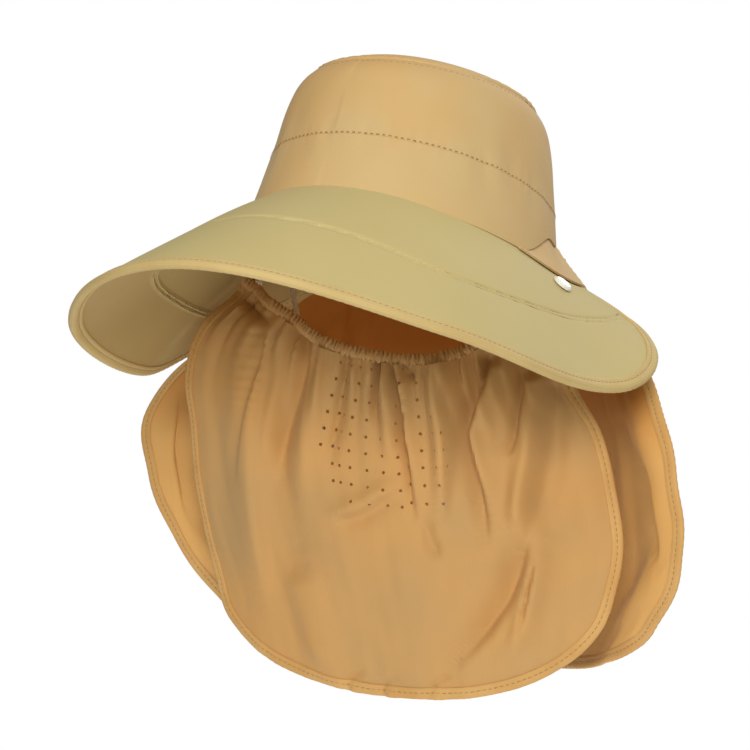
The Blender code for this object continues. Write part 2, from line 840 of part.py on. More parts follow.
def make_material(name, colour, roughness):
    material = bpy.data.materials.new(name)
    material.use_nodes = True
    shader = material.node_tree.nodes["Principled BSDF"]
    shader.inputs["Base Color"].default_value = (*colour, 1)
    shader.inputs["Roughness"].default_value = roughness
    shader.inputs["Metallic"].default_value = 0
    material.diffuse_color = (*colour, 1)
    return material


def main():
    for stale in list(bpy.data.objects):
        bpy.data.objects.remove(stale)
    paint = {name: make_material(name, *look) for name, look in COLOURS.items()}

    band = crown_rows(band_foot, lambda a: band_seam(a) - GAP / 2, 2)
    side = crown_rows(lambda a: band_seam(a) + GAP / 2, lambda a: TIP_SEAM_HEIGHT - GAP / 2, 4)
    wall("crown_band", band, CROWN_WALL, paint["crown_fabric"], closed=True)
    wall("crown_side", side, CROWN_WALL, paint["crown_fabric"], closed=True)
    wall("crown_tip", tip_rows(), CROWN_WALL, paint["crown_fabric"], closed=True, domed=True)

    brim = visor_rows()
    visor = wall("visor", brim, VISOR_WALL, paint["visor_fabric"])
    binding("visor_binding", brim, VISOR_BINDING_WIDTH, VISOR_BINDING_HEIGHT, paint["binding_tape"], 1)

    flap = flap_rows()
    wall("neck_flap", flap, CLOTH_WALL, paint["veil_fabric"])
    binding("neck_flap_binding", flap, CLOTH_BINDING_WIDTH, CLOTH_BINDING_HEIGHT, paint["binding_tape"])

    veil = veil_rows()
    wall("face_veil", veil, CLOTH_WALL, paint["veil_fabric"], holes=veil_holes())
    binding("face_veil_binding", veil, CLOTH_BINDING_WIDTH, CLOTH_BINDING_HEIGHT, paint["binding_tape"])
    casing(paint["veil_fabric"])
    chin_strap(paint["white_elastic"])

    for name, sign in (("right", -1), ("left", 1)):
        wall("flap_corner_" + name, corner_rows(sign), CLOTH_WALL, paint["crown_fabric"])
        veil_hanger("veil_hanger_" + name, sign, paint["white_elastic"])
        snap_button("snap_button_" + name, sign, visor, paint["snap_plastic"], paint["visor_fabric"])


main()
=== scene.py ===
"""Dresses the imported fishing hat: crown, visor, bindings, gathered veil, neck flap, elastics and snaps."""

import math

import bmesh
import bpy
import numpy as np
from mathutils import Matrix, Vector


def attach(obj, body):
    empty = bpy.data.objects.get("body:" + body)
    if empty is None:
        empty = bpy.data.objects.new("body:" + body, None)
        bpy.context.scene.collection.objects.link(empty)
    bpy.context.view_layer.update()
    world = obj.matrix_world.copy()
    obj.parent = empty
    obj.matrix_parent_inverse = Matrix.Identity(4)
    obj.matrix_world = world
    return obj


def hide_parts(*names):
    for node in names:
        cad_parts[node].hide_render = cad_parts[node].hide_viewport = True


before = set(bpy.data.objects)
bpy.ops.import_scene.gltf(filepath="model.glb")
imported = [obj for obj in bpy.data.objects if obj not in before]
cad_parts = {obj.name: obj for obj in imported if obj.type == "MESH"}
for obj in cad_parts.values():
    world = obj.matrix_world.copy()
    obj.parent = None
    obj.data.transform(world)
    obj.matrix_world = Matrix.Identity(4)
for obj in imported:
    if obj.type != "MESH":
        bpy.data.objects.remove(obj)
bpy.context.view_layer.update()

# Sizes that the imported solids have, in metres, repeated here so that each dressed piece lies on its solid
GAP = 0.0003
CROWN_WALL = 0.0016
VISOR_WALL = 0.0028
HALF_WIDTH = 0.082
HALF_LENGTH = 0.097
TILT = math.radians(16)
CROWN_HEIGHT = 0.097
TIP_SEAM = 0.083
VISOR_END = math.radians(114)
VISOR_FRONT_WIDTH = 0.134
VISOR_DROOP = math.radians(50)
VISOR_BINDING = 0.0065
FLAP_DROP = 0.243
FLAP_HALF_WIDTH = 0.160
FLAP_REACH = 0.112
FLAP_CORNER_DEPTH = 0.206
VEIL_DROP = 0.240
VEIL_HALF_WIDTH = 0.119
VEIL_BULGE = 0.050
VEIL_TURN = math.radians(10)
VEIL_CORNER_DEPTH = 0.193
REAR_SEAM = 0.009
REAR_FROM = math.radians(78)
REAR_FULL = math.radians(104)
FLAP_CLEAR = math.radians(1.5)

# The dressed pieces' own sizes: cloths, tapes, and how far the visor's cloth runs in behind the crown's foot
CROWN_CLOTH = 0.0012
VEIL_CLOTH = 0.0010
CORNER_CLOTH = 0.0011
TAPE_WIDTH = 0.0055
TAPE_HEIGHT = 0.0026
VISOR_TAPE_HEIGHT = 0.0046
TAPE_STEP = 0.0012
VISOR_TUCK = 0.0024

CROWN_PROFILE = np.array([
    # height, breadth
    (-0.15, 1.030),
    (0.00, 1.000),
    (0.36, 0.925),
    (0.70, 0.868),
    (0.90, 0.815),
    (1.00, 0.765),
])
VISOR_SHAPE = np.array([
    # turn, width, droop
    (-0.35, 0.890, 0.86),
    (0.00, 1.000, 0.65),
    (0.35, 0.890, 0.86),
    (0.70, 0.750, 0.98),
    (1.00, 0.680, 0.45),
])
FLAP_SHAPE = np.array([
    # depth, right, left, right_reach, left_reach, back_reach
    (0.09, 0.530, 0.450, 0.62, 0.50, 0.880),
    (0.20, 0.790, 0.610, 0.54, 0.45, 0.920),
    (0.30, 1.030, 0.790, 0.30, 0.31, 0.960),
    (0.42, 1.100, 0.930, 0.08, 0.10, 1.000),
    (0.56, 1.070, 0.985, 0.05, 0.06, 1.010),
    (0.70, 0.980, 0.980, 0.08, 0.08, 1.000),
    (0.82, 0.860, 0.880, 0.15, 0.15, 0.985),
    (1.00, 0.640, 0.660, 0.33, 0.33, 0.960),
])
FLAP_FOLDS = (
    # place, breadth, depth, start
    (-0.82, 0.10, 0.80, 0.30),
    (-0.52, 0.13, -0.90, 0.25),
    (-0.26, 0.10, 0.80, 0.15),
    (0.00, 0.12, -0.70, 0.10),
    (0.24, 0.10, 0.85, 0.15),
    (0.50, 0.13, -0.90, 0.25),
    (0.78, 0.09, 1.10, 0.30),
)
VEIL_SHAPE = np.array([
    # depth, right, left, edge_reach, centre_reach
    (0.12, 0.78, 0.72, 0.20, 0.80),
    (0.20, 0.94, 0.76, 0.34, 0.88),
    (0.31, 1.02, 0.80, 0.32, 0.98),
    (0.42, 1.01, 0.93, 0.26, 1.06),
    (0.56, 0.99, 1.00, 0.24, 1.02),
    (0.68, 0.94, 1.03, 0.24, 0.95),
    (0.80, 0.86, 0.985, 0.28, 0.88),
    (1.00, 0.80, 0.88, 0.34, 0.72),
])
VEIL_FOLDS = (
    # place, breadth, depth, start, end
    (-0.86, 0.06, -0.9, 0.00, 0.80),
    (-0.70, 0.08, 1.0, 0.00, 0.90),
    (-0.52, 0.07, -0.9, 0.00, 1.10),
    (-0.30, 0.09, 0.5, 0.00, 0.60),
    (0.30, 0.08, 0.5, 0.00, 0.50),
    (0.44, 0.06, -0.9, 0.00, 0.45),
    (0.60, 0.09, 1.0, 0.00, 1.10),
    (0.80, 0.08, -0.8, 0.15, 1.10),
)


def read(table, x, column):
    """A smooth curve through a table's column, as the solids' source has it."""
    xs, ys = table[:, 0], table[:, column]
    x = np.clip(x, xs[0], xs[-1])
    low = np.maximum(np.arange(len(xs)) - 1, 0)
    high = np.minimum(np.arange(len(xs)) + 1, len(xs) - 1)
    slope = (ys[high] - ys[low]) / (xs[high] - xs[low])
    i = np.clip(np.searchsorted(xs, x, side="left") - 1, 0, len(xs) - 2)
    span = xs[i + 1] - xs[i]
    u = (x - xs[i]) / span
    return (
        ys[i] * (1 + 2 * u) * (1 - u) ** 2
        + ys[i + 1] * u * u * (3 - 2 * u)
        + span * (slope[i] * u * (1 - u) ** 2 + slope[i + 1] * u * u * (u - 1))
    )


def ease(x):
    """From 0 to 1 with a soft start and end."""
    x = np.clip(x, 0.0, 1.0)
    return x * x * (3 - 2 * x)


def blended(table, share, place, column):
    """A shape table's value between its column for the wearer's right and the next, for the left."""
    right, left = read(table, share, column), read(table, share, column + 1)
    return right + (left - right) * ease((place + 1) / 2)


def bump(x, centre, breadth):
    return np.exp(-(((x - centre) / breadth) ** 2))


def unit(v):
    return v / np.maximum(np.linalg.norm(v, axis=-1, keepdims=True), 1e-12)


def stack(x, y, z):
    x, y, z = np.broadcast_arrays(x, y, z)
    return np.stack([x, y, z], axis=-1)


def tilted(x, y, z):
    c, s = math.cos(TILT), math.sin(TILT)
    return stack(x, y * c + z * s, z * c - y * s)


def turned(x, y, z, angle):
    c, s = math.cos(angle), math.sin(angle)
    return stack(x * c - y * s, x * s + y * c, z)


def smooth_noise(x, y, scale_x, scale_y, seed, waves=7):
    """Soft unevenness of about -1 to 1, made of a few seeded waves."""
    rng = np.random.default_rng(seed)
    total = np.zeros(np.broadcast(x, y).shape)
    for _ in range(waves):
        a = rng.uniform(0.35, 1.25) / scale_x * rng.choice((-1, 1))
        b = rng.uniform(0.0, 1.25) / scale_y
        total = total + np.sin(2 * math.pi * (a * x + b * y) + rng.uniform(0, 6.28))
    return total / waves * 1.6


# The photo's viewpoint, and a metre's length and the origin's place in the picture's pixels
PHOTO_TURN = math.radians(30)
PHOTO_RISE = math.radians(0.6)
PHOTO_AWAY = 1.5
PHOTO_SCALE = 1820.0
PHOTO_ORIGIN = (405.2, 243.1)


def seen(points):
    """Where points lie as seen from the front left, in the picture's own units."""
    side = points[..., 0] * math.cos(PHOTO_TURN) + points[..., 1] * math.sin(PHOTO_TURN)
    nearer = points[..., 0] * math.sin(PHOTO_TURN) - points[..., 1] * math.cos(PHOTO_TURN)
    scale = PHOTO_SCALE * PHOTO_AWAY / (PHOTO_AWAY - nearer)
    return PHOTO_ORIGIN[0] + side * scale, PHOTO_ORIGIN[1] - points[..., 2] * scale


def smooth_line(corners, count=40):
    corners = np.array(corners, float)
    padded = np.concatenate([2 * corners[:1] - corners[1:2], corners, 2 * corners[-1:] - corners[-2:-1]])
    at = np.linspace(0, len(corners) - 1 - 1e-9, count)
    i = at.astype(int)
    t = (at - i)[:, None]
    a, b, c, d = padded[i], padded[i + 1], padded[i + 2], padded[i + 3]
    return 0.5 * (2 * b + (c - a) * t + (2 * a - 5 * b + 4 * c - d) * t * t + (3 * b - a - 3 * c + d) * t**3)


# How far beside a crease points are looked at, and how far it runs out past its ends, in pixels
CREASE_REACH = 40
CREASE_END = 9.0


def creased(points, creases):
    """How far each crease pushes each point outward, in metres, fading toward the crease's end."""
    x, y = seen(points)
    total = np.zeros(x.shape)
    for depth, left, right, start, corners in creases:
        line = smooth_line(corners)
        low, high = line.min(0), line.max(0)
        aside = 3 * max(left, right)
        near = (x > low[0] - aside) & (x < high[0] + aside)
        near &= (y > low[1] - CREASE_REACH) & (y < high[1] + CREASE_REACH)
        px, py = x[near], y[near]
        gap_x, gap_y = px[:, None] - line[:, 0], py[:, None] - line[:, 1]
        k = np.argmin(gap_x**2 + gap_y**2, axis=1)
        way = unit(np.gradient(line, axis=0))[k]
        off_x, off_y = gap_x[np.arange(len(k)), k], gap_y[np.arange(len(k)), k]
        across = way[:, 1] * off_x - way[:, 0] * off_y
        beyond = way[:, 0] * off_x + way[:, 1] * off_y
        share = k / (len(line) - 1)
        wide = np.where(across > 0, right, left)
        fade = (start + (1 - start) * ease(share / 0.25)) * ease((1 - share) / 0.35)
        beyond = np.where((k == 0) | (k == len(line) - 1), beyond, 0.0)
        total[near] += depth * np.exp(-((across / wide) ** 2) - (beyond / CREASE_END) ** 2) * fade
    return total * 0.001


# Crown


def crown_point(angle, height, breadth=None):
    if breadth is None:
        breadth = read(CROWN_PROFILE, height / TIP_SEAM, 1)
    return tilted(
        HALF_WIDTH * breadth * np.sin(angle),
        -HALF_LENGTH * breadth * np.cos(angle),
        height,
    )


def join_height(angle):
    return 0.004 * np.cos(angle) + 0.0043 * (np.cos(2 * angle) - 1)


def wrapped(angle):
    return np.abs((angle + math.pi) % (2 * math.pi) - math.pi)


def band_foot(angle):
    rise = ease((wrapped(angle) - REAR_FROM) / (REAR_FULL - REAR_FROM))
    return join_height(angle) * (1 - rise) + REAR_SEAM * rise


def band_seam(angle):
    return 0.030 + 0.006 * np.cos(angle)


# Visor


def visor_frame(angle):
    turn = np.abs(angle) / VISOR_END
    width = VISOR_FRONT_WIDTH * read(VISOR_SHAPE, turn, 1)
    end = np.maximum(0.0, (turn - 0.74) / 0.26)
    width = width * np.sqrt(1 - (1 - 0.25**2) * end * end)
    droop = VISOR_DROOP * read(VISOR_SHAPE, turn, 2)
    out = unit(stack(np.sin(angle) / HALF_WIDTH, -np.cos(angle) / HALF_LENGTH, 0 * angle))
    along = out * np.cos(droop)[..., None]
    along[..., 2] -= np.sin(droop)
    inner = crown_point(angle, join_height(angle) - VISOR_WALL / 2 - GAP, 1.0)
    return inner, tilted(along[..., 0], along[..., 1], along[..., 2]), width


def visor_point(angle, distance):
    inner, along, width = visor_frame(angle)
    share = distance / width
    lift = 0.0025 * 4 * share * (1 - share)
    return inner + along * distance[..., None] + lift[..., None] * tilted(0, 0, 1.0)


# Neck flap

# Folds of the flap's inner face: depth in millimetres toward the front, widths left and right of the line,
# how much of it there is at its start, and the line's points in the picture, from the top down
FLAP_CREASE_DEPTH = 1.6
FLAP_CREASES = (
    (-3.2, 12, 6, 0.3, ((621, 425), (636, 469), (648, 513), (652, 543), (657, 575))),
    (3.5, 12, 10, 0.3, ((640, 400), (660, 440), (672, 490), (674, 540), (668, 580))),
    (-1.5, 5, 4, 0.2, ((672, 548), (664, 566), (655, 580))),
    (-1.2, 5, 4, 0.2, ((662, 590), (652, 604), (644, 614))),
    (1.5, 8, 8, 0.5, ((640, 560), (628, 600), (610, 640))),
    (2.0, 9, 6, 0.4, ((172, 380), (168, 430), (170, 480), (180, 530))),
    (-1.8, 5, 7, 0.4, ((182, 400), (180, 450), (186, 500), (198, 545))),
    (1.1, 10, 7, 0.6, ((333, 290), (336, 320), (338, 345))),
    (-1.3, 6, 8, 0.6, ((345, 290), (348, 320), (350, 350))),
    (1.2, 10, 7, 0.6, ((360, 290), (363, 320), (365, 350))),
)


def flap_angle(place):
    return math.pi - place * (math.pi - VISOR_END - FLAP_CLEAR)


def flap_point(place, down):
    seam = crown_point(flap_angle(place), REAR_SEAM - CROWN_WALL / 2 - GAP)
    hem = FLAP_CORNER_DEPTH + (FLAP_DROP - FLAP_CORNER_DEPTH) * np.maximum(1 - place**2, 0) ** 0.54
    depth = -seam[..., 2] * (1 - down) + hem * down
    share = depth / FLAP_DROP
    breadth = FLAP_HALF_WIDTH * blended(FLAP_SHAPE, share, place, 1)
    bell = 0.5 + 0.5 * np.cos(math.pi * np.abs(place) ** 1.5)
    edge = FLAP_REACH * blended(FLAP_SHAPE, share, place, 3)
    back = FLAP_REACH * read(FLAP_SHAPE, share, 5)
    hang = stack(breadth * place, edge + (back - edge) * bell, -depth)
    away = unit(stack(place, 0.8 * bell + 0.15, 0 * place))
    push = 0
    for centre, width, fold, start in FLAP_FOLDS:
        calm = (1 - ease((down - 0.72) / 0.28) * 0.75) * (1 - 0.85 * ease((np.abs(place) - 0.84) / 0.13))
        push = push + 0.008 * fold * bump(place, centre, width) * ease((down - start) * 1.6) * calm
    loose = ease(down * 3)
    push = push + 0.0012 * smooth_noise(place, down, 0.30, 1.4, 11) * loose
    push = push + 0.0005 * smooth_noise(place, down, 0.09, 0.7, 12) * loose
    drag = ease((np.abs(place) - 0.55) / 0.4) * ease(down * 4)
    push = push + 0.00055 * np.sin(34 * down + 9 * np.abs(place)) * drag
    rim = 1 - ease((np.abs(place) - 0.90) / 0.09)
    push = push - FLAP_CREASE_DEPTH * creased(hang, FLAP_CREASES) * rim
    hang = hang + away * push[..., None]
    leave = ease(down / 0.22)[..., None]
    return seam * (1 - leave) + hang * leave


# Face veil


def veil_top_depth(place):
    sag = 0.0325 * (1 - np.abs(place) ** 1.8) - 0.0032 * bump(place, -0.64, 0.22)
    sag = sag + 0.0028 * bump(place, 0.30, 0.25)
    return 0.030 + 0.006 * place + sag


def veil_point(place, down, detail=True):
    hem = VEIL_CORNER_DEPTH + (VEIL_DROP - VEIL_CORNER_DEPTH) * (
        np.maximum(1 - np.abs(place) ** 2.4, 0) ** 0.5
    )
    depth = veil_top_depth(place) * (1 - down) + hem * down
    share = depth / VEIL_DROP
    breadth = VEIL_HALF_WIDTH * blended(VEIL_SHAPE, share, place, 1)
    tuck = 0.0068 * bump(place, -0.62, 0.25) * np.clip(1 - down / 0.3, 0, 1)
    sway = 0.014 * share * (1 - place * place) + tuck
    edge = VEIL_BULGE * read(VEIL_SHAPE, share, 3)
    centre = VEIL_BULGE * read(VEIL_SHAPE, share, 4)
    forward = edge + (centre - edge) * (1 - place * place)
    for middle, width, fold, start, end in VEIL_FOLDS:
        fade = ease((down - start + 0.25) * 4) * (1 - ease((down - end + 0.35) / 0.35))
        forward = forward + 0.0021 * fold * bump(place, middle, width) * fade
    if detail:
        plain = turned(breadth * place + sway, -forward, -depth, VEIL_TURN)
        rim = 1 - ease((np.abs(place) - 0.93) / 0.07)
        creases = VEIL_CREASE_DEPTH * creased(plain, VEIL_CREASES)
        forward = forward + (veil_detail(place, down) + creases) * (0.25 + 0.75 * rim)
    return turned(breadth * place + sway, -forward, -depth, VEIL_TURN)


GATHER_COUNT = 46


def gather_folds():
    """Small folds that start at the casing: place at the top, drift by the hem, breadth, depth, length."""
    rng = np.random.default_rng(4)
    folds = []
    for k in range(GATHER_COUNT):
        folds.append((
            -0.97 + 1.94 * (k + rng.uniform(-0.35, 0.35)) / (GATHER_COUNT - 1),
            rng.uniform(0.9, 1.25),
            rng.uniform(0.011, 0.021),
            rng.uniform(0.35, 1.0) * (1 if k % 2 else -1),
            rng.uniform(0.05, 0.15) * (2.0 if k % 5 == 0 else 1.0),
        ))
    return folds


GATHERS = gather_folds()
GATHER_DEPTH = 0.0042

# Creases of the veil: depth in millimetres toward the front, widths left and right of the line,
# how much of it there is at its start, and the line's points in the picture
VEIL_CREASE_DEPTH = 3.0
VEIL_CREASES = (
    (2.2, 22, 9, 0.4, ((262, 330), (254, 400), (250, 450), (252, 500), (258, 550), (266, 600), (284, 655))),
    (-1.6, 8, 3, 0.8, ((266, 325), (259, 362), (250, 392), (243, 422), (238, 458), (236, 500))),
    (1.3, 9, 7, 0.6, ((289, 322), (282, 372), (272, 410), (266, 450), (268, 500))),
    (-2.3, 7, 10, 0.9, ((304, 337), (306, 362), (298, 390), (289, 420), (281, 455), (282, 500))),
    (-2.2, 4, 5, 0.9, ((247, 306), (256, 317), (268, 320))),
    (1.6, 12, 10, 0.7, ((325, 350), (318, 392), (308, 430), (303, 480), (306, 560))),
    (-1.4, 4, 8, 0.9, ((347, 357), (339, 392), (336, 416), (332, 440), (327, 480))),
    (-2.0, 4, 5, 1.0, ((377, 357), (377, 374), (374, 384), (373, 404), (379, 436))),
    (1.6, 8, 6, 0.8, ((388, 355), (386, 384), (390, 410), (391, 440), (394, 470))),
    (-1.5, 5, 3, 0.8,
     ((389, 360), (395, 374), (399, 390), (401, 410), (403, 434), (407, 457), (411, 501), (414, 545))),
    (1.9, 3, 11, 0.7, ((396, 362), (403, 384), (407, 410), (409, 434), (414, 460), (420, 510), (424, 550))),
    (-2.0, 4, 4, 0.9, ((403, 364), (408, 374), (416, 378))),
    (3.0, 12, 6, 0.8, ((438, 354), (441, 370), (440, 401), (443, 417), (446, 450), (444, 500), (438, 545))),
    (-2.6, 13, 6, 0.8,
     ((487, 362), (478, 388), (471, 408), (465, 431), (470, 457), (479, 492), (485, 530), (488, 565))),
    (2.2, 5, 12, 0.8, ((495, 368), (486, 395), (477, 418), (474, 434), (480, 460), (490, 500), (498, 545))),
    (-1.4, 7, 4, 0.5, ((523, 380), (515, 434), (506, 458))),
    (3.0, 13, 9, 0.9, ((537, 382), (532, 446), (522, 505), (520, 555))),
    (-2.2, 10, 18, 0.8, ((556, 388), (550, 440), (542, 490), (532, 545))),
    (-3.0, 20, 8, 0.2, ((526, 530), (515, 575), (501, 607), (476, 642), (446, 676))),
    (1.8, 10, 12, 0.2, ((545, 540), (534, 590), (520, 635), (500, 675))),
    (-1.2, 3, 4, 0.2, ((536, 560), (528, 600), (520, 640))),
    (-1.2, 6, 9, 0.3, ((424, 512), (427, 535), (434, 550), (446, 553))),
    (1.5, 11, 7, 0.2, ((404, 482), (384, 492), (368, 502), (345, 511), (322, 511))),
    (-1.0, 7, 12, 0.2, ((398, 492), (380, 502), (366, 511), (345, 520), (330, 520))),
    (2.4, 14, 20, 0.2, ((300, 560), (306, 600), (322, 650), (352, 682))),
    (-0.5, 4, 5, 0.2, ((345, 690), (352, 680), (368, 672))),
    (-0.5, 4, 5, 0.2, ((382, 694), (388, 684), (402, 678))),
    (-0.6, 4, 5, 0.2, ((430, 694), (440, 682), (455, 676))),
    (-0.9, 4, 4, 0.2, ((200, 470), (206, 520), (216, 560))),
)


def veil_detail(place, down):
    total = np.zeros(np.broadcast(place, down).shape)
    held = 0.4 + 0.6 * ease(down / 0.05)
    for top, drift, width, depth, length in GATHERS:
        middle = top * (1 + (drift - 1) * down)
        fade = np.exp(-((down / length) ** 1.3))
        total = total + GATHER_DEPTH * held * depth * bump(place, middle, width * (1 + 2.0 * down)) * fade
    total = total + 0.0009 * smooth_noise(place, down, 0.35, 1.2, 21) * ease(down * 3)
    return total + 0.0004 * smooth_noise(place, down, 0.10, 0.45, 22)


# Meshes


def normals_of(grid, closed):
    across = np.roll(grid, -1, 1) - np.roll(grid, 1, 1) if closed else np.gradient(grid, axis=1)
    n = unit(np.cross(across, np.gradient(grid, axis=0)))
    if not closed:
        n[-1] = n[-2]
        n[:, 0] = n[:, 1]
        n[:, -1] = n[:, -2]
    return n


def mesh_object(name, points, faces, material, uv=None, smooth=50):
    mesh = bpy.data.meshes.new(name)
    mesh.from_pydata(np.asarray(points, float).tolist(), [], faces)
    mesh.validate()
    work = bmesh.new()
    work.from_mesh(mesh)
    bmesh.ops.recalc_face_normals(work, faces=work.faces)
    work.to_mesh(mesh)
    work.free()
    if uv is not None:
        layer = mesh.uv_layers.new(name="cloth")
        corners = np.empty(len(mesh.loops), dtype=np.int32)
        mesh.loops.foreach_get("vertex_index", corners)
        layer.data.foreach_set("uv", np.asarray(uv, np.float32)[corners].ravel())
    mesh.update()
    mesh.shade_smooth()
    mesh.set_sharp_from_angle(angle=math.radians(smooth))
    mesh.materials.append(material)
    piece = bpy.data.objects.new(name, mesh)
    bpy.context.scene.collection.objects.link(piece)
    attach(piece, "root")
    return piece


def lengths_uv(grid):
    """Flat coordinates in metres: across from the middle column, down from the first row."""
    rows, columns = grid.shape[:2]
    step_x = np.linalg.norm(np.diff(grid, axis=1), axis=2)
    step_y = np.linalg.norm(np.diff(grid, axis=0), axis=2)
    x = np.concatenate([np.zeros((rows, 1)), np.cumsum(step_x, axis=1)], axis=1)
    x = x - x[:, columns // 2][:, None]
    y = np.concatenate([np.zeros((1, columns)), np.cumsum(step_y, axis=0)], axis=0)
    return np.stack([x, y], axis=-1).reshape(-1, 2)


def area_of(grid, closed=False):
    if closed:
        grid = np.concatenate([grid, grid[:, :1]], axis=1)
    a, b = grid[:-1, :-1], grid[:-1, 1:]
    c, d = grid[1:, 1:], grid[1:, :-1]
    cross = np.linalg.norm(np.cross(c - a, d - b), axis=2)
    return float(cross.sum() / 2)


def wall(name, grid, thickness, material, closed=False, holes=(), radius=0.0, top=None):
    """A thin solid about a grid of points, with round holes about some of its points."""
    rows, columns = grid.shape[:2]
    n = normals_of(grid, closed)
    sides = [grid + n * thickness / 2, grid - n * thickness / 2]
    span = columns if closed else columns - 1
    index = np.arange(rows * columns).reshape(rows, columns)
    if closed:
        index = np.concatenate([index, index[:, :1]], axis=1)
    a, b = index[:-1, :-1], index[:-1, 1:]
    c, d = index[1:, 1:], index[1:, :-1]
    keep = np.ones(a.shape, bool)
    rings = {}
    for r, col in holes:
        reach = [0, 0]
        for j, way in enumerate((-1, 1)):
            gap = 0.0
            while gap < radius * 0.9:
                reach[j] += 1
                gap = np.linalg.norm(grid[r, col + way * reach[j]] - grid[r, col])
        left, right = reach
        around = [(-1, k) for k in range(-left, right + 1)] + [(0, right)]
        around += [(1, k) for k in range(right, -left - 1, -1)] + [(0, -left)]
        rings[r, col] = around
        keep[r - 1 : r + 1, col - left : col + right] = False
        for side in sides:
            middle = side[r, col].copy()
            for dr, dc in around:
                away = side[r + dr, col + dc] - middle
                side[r + dr, col + dc] = middle + away / np.linalg.norm(away) * radius
    quads = np.stack([a, b, c, d], axis=-1)[keep]
    offset = rows * columns
    faces = quads[:, ::-1].tolist() + (quads + offset).tolist()
    for (r, col), around in rings.items():
        loop = [int(index[r + dr, col + dc]) for dr, dc in around]
        for k in range(len(loop)):
            p, q = loop[k], loop[(k + 1) % len(loop)]
            faces.append((q, p, p + offset, q + offset))
    points = [s.reshape(-1, 3) for s in sides]
    uv = [lengths_uv(grid)] * 2
    edges = [index[0][::-1]]
    if top is None:
        edges.append(index[-1])
    if not closed:
        edges += [index[:, 0], index[::-1, -1]]
    for line in edges:
        for p, q in zip(line[:-1].tolist(), line[1:].tolist()):
            faces.append((q, p, p + offset, q + offset))
    if top is not None:
        for k, sign in enumerate((1, -1)):
            points.append(np.array([top + tilted(0, 0, sign * thickness / 2)]))
            uv.append(uv[0][-1:] + (0, 0.02))
            tip = 2 * offset + k
            last = index[-1] + k * offset
            for p, q in zip(last[:-1].tolist(), last[1:].tolist()):
                faces.append((p, q, tip) if k else (q, p, tip))
    return mesh_object(name, np.concatenate(points), faces, material, np.concatenate(uv))


def tube(name, path, side, up, profile, material):
    """A solid swept along a path. profile(i) gives (side, up) offsets in metres for point i."""
    count = len(profile(0))
    points = np.concatenate([
        path[i] + np.array([side[i] * a + up[i] * b for a, b in profile(i)]) for i in range(len(path))
    ])
    travelled = np.concatenate([[0], np.cumsum(np.linalg.norm(np.diff(path, axis=0), axis=1))])
    round_way = np.linspace(0, 0.012, count)
    uv = np.stack([np.repeat(travelled, count), np.tile(round_way, len(path))], axis=-1)
    faces = []
    for i in range(len(path) - 1):
        low, high = i * count, (i + 1) * count
        for k in range(count):
            after = (k + 1) % count
            faces.append((low + k, low + after, high + after, high + k))
    faces.append(tuple(range(count))[::-1])
    faces.append(tuple(range(len(points) - count, len(points))))
    return mesh_object(name, points, faces, material, uv)


def resample(path, step, *others):
    travelled = np.concatenate([[0], np.cumsum(np.linalg.norm(np.diff(path, axis=0), axis=1))])
    count = max(int(travelled[-1] / step), 2) + 1
    at = np.linspace(0, travelled[-1], count)
    return [np.stack([np.interp(at, travelled, p[:, k]) for k in range(3)], axis=-1) for p in (path, *others)]


def stitches(name, rows, material, length, gap, width):
    """Sewn thread: a short rounded bar for each stitch along each (path, normal) row."""
    shape = ((-0.5, 0.35, 0.2), (-0.32, 0.5, 0.9), (0.32, 0.5, 0.9), (0.5, 0.35, 0.2))
    points, faces = [], []
    for path, normal in rows:
        path, normal = resample(path, (length + gap), normal)
        for i in range(len(path) - 1):
            ahead = path[i + 1] - path[i]
            reach = np.linalg.norm(ahead)
            if reach < 1e-6:
                continue
            ahead = ahead / reach
            up = unit(normal[i])
            across = np.cross(up, ahead)
            middle = (path[i] + path[i + 1]) / 2
            base = len(points)
            for along, wide, high in shape:
                for sign in (-1, 1):
                    points.append(middle + ahead * along * length + across * sign * wide * width)
                points.append(middle + ahead * along * length + up * width * 0.55 * high)
            for k in range(3):
                low, high = base + 3 * k, base + 3 * k + 3
                faces += [
                    (low, high, high + 2, low + 2),
                    (low + 2, high + 2, high + 1, low + 1),
                    (low + 1, high + 1, high, low),
                ]
            faces += [(base, base + 2, base + 1), (base + 9, base + 10, base + 11)]
    return mesh_object(name, points, faces, material, smooth=180)


# Materials: a woven cloth made of two fine crossed waves, soft colour drift, and a sheen


def fill(node, **constants):
    """Sets a node's inputs by name, with low lines for the spaces."""
    for socket, value in constants.items():
        node.inputs[socket.replace("_", " ")].default_value = value
    return node


def add(tree, kind, **constants):
    return fill(tree.nodes.new("ShaderNode" + kind), **constants)


def new_material(name, rough):
    material = bpy.data.materials.new(name)
    material.use_nodes = True
    tree = material.node_tree
    return material, tree, fill(tree.nodes["Principled BSDF"], Roughness=rough, Metallic=0.0)


def colour_ramp(tree, factor, *stops):
    ramp = add(tree, "ValToRGB")
    for stop, (position, colour) in zip(ramp.color_ramp.elements, stops):
        stop.position = position
        stop.color = (*colour, 1)
    tree.links.new(factor, ramp.inputs["Fac"])
    return ramp.outputs["Color"]


def relief(tree, height, strength, distance):
    made = add(tree, "Bump", Strength=strength, Distance=distance)
    tree.links.new(height, made.inputs["Height"])
    return made


def painted_shade_up_to_crown(tree, place, colour, painted_shade_colour):
    """Painted shade: the colour turns to a darker, deeper one from the flap's middle up into the crown."""
    apart = add(tree, "SeparateXYZ")
    tree.links.new(place, apart.inputs["Vector"])
    # how far the painted shade has come: none at the flap's middle, all of it below the crown
    rise = add(tree, "MapRange", From_Min=-0.115, From_Max=-0.060)
    tree.links.new(apart.outputs["Z"], rise.inputs["Value"])
    painted_shade_mix = add(tree, "MixRGB", Color2=(*painted_shade_colour, 1))
    tree.links.new(rise.outputs["Result"], painted_shade_mix.inputs["Fac"])
    tree.links.new(colour, painted_shade_mix.inputs["Color1"])
    return painted_shade_mix.outputs["Color"]


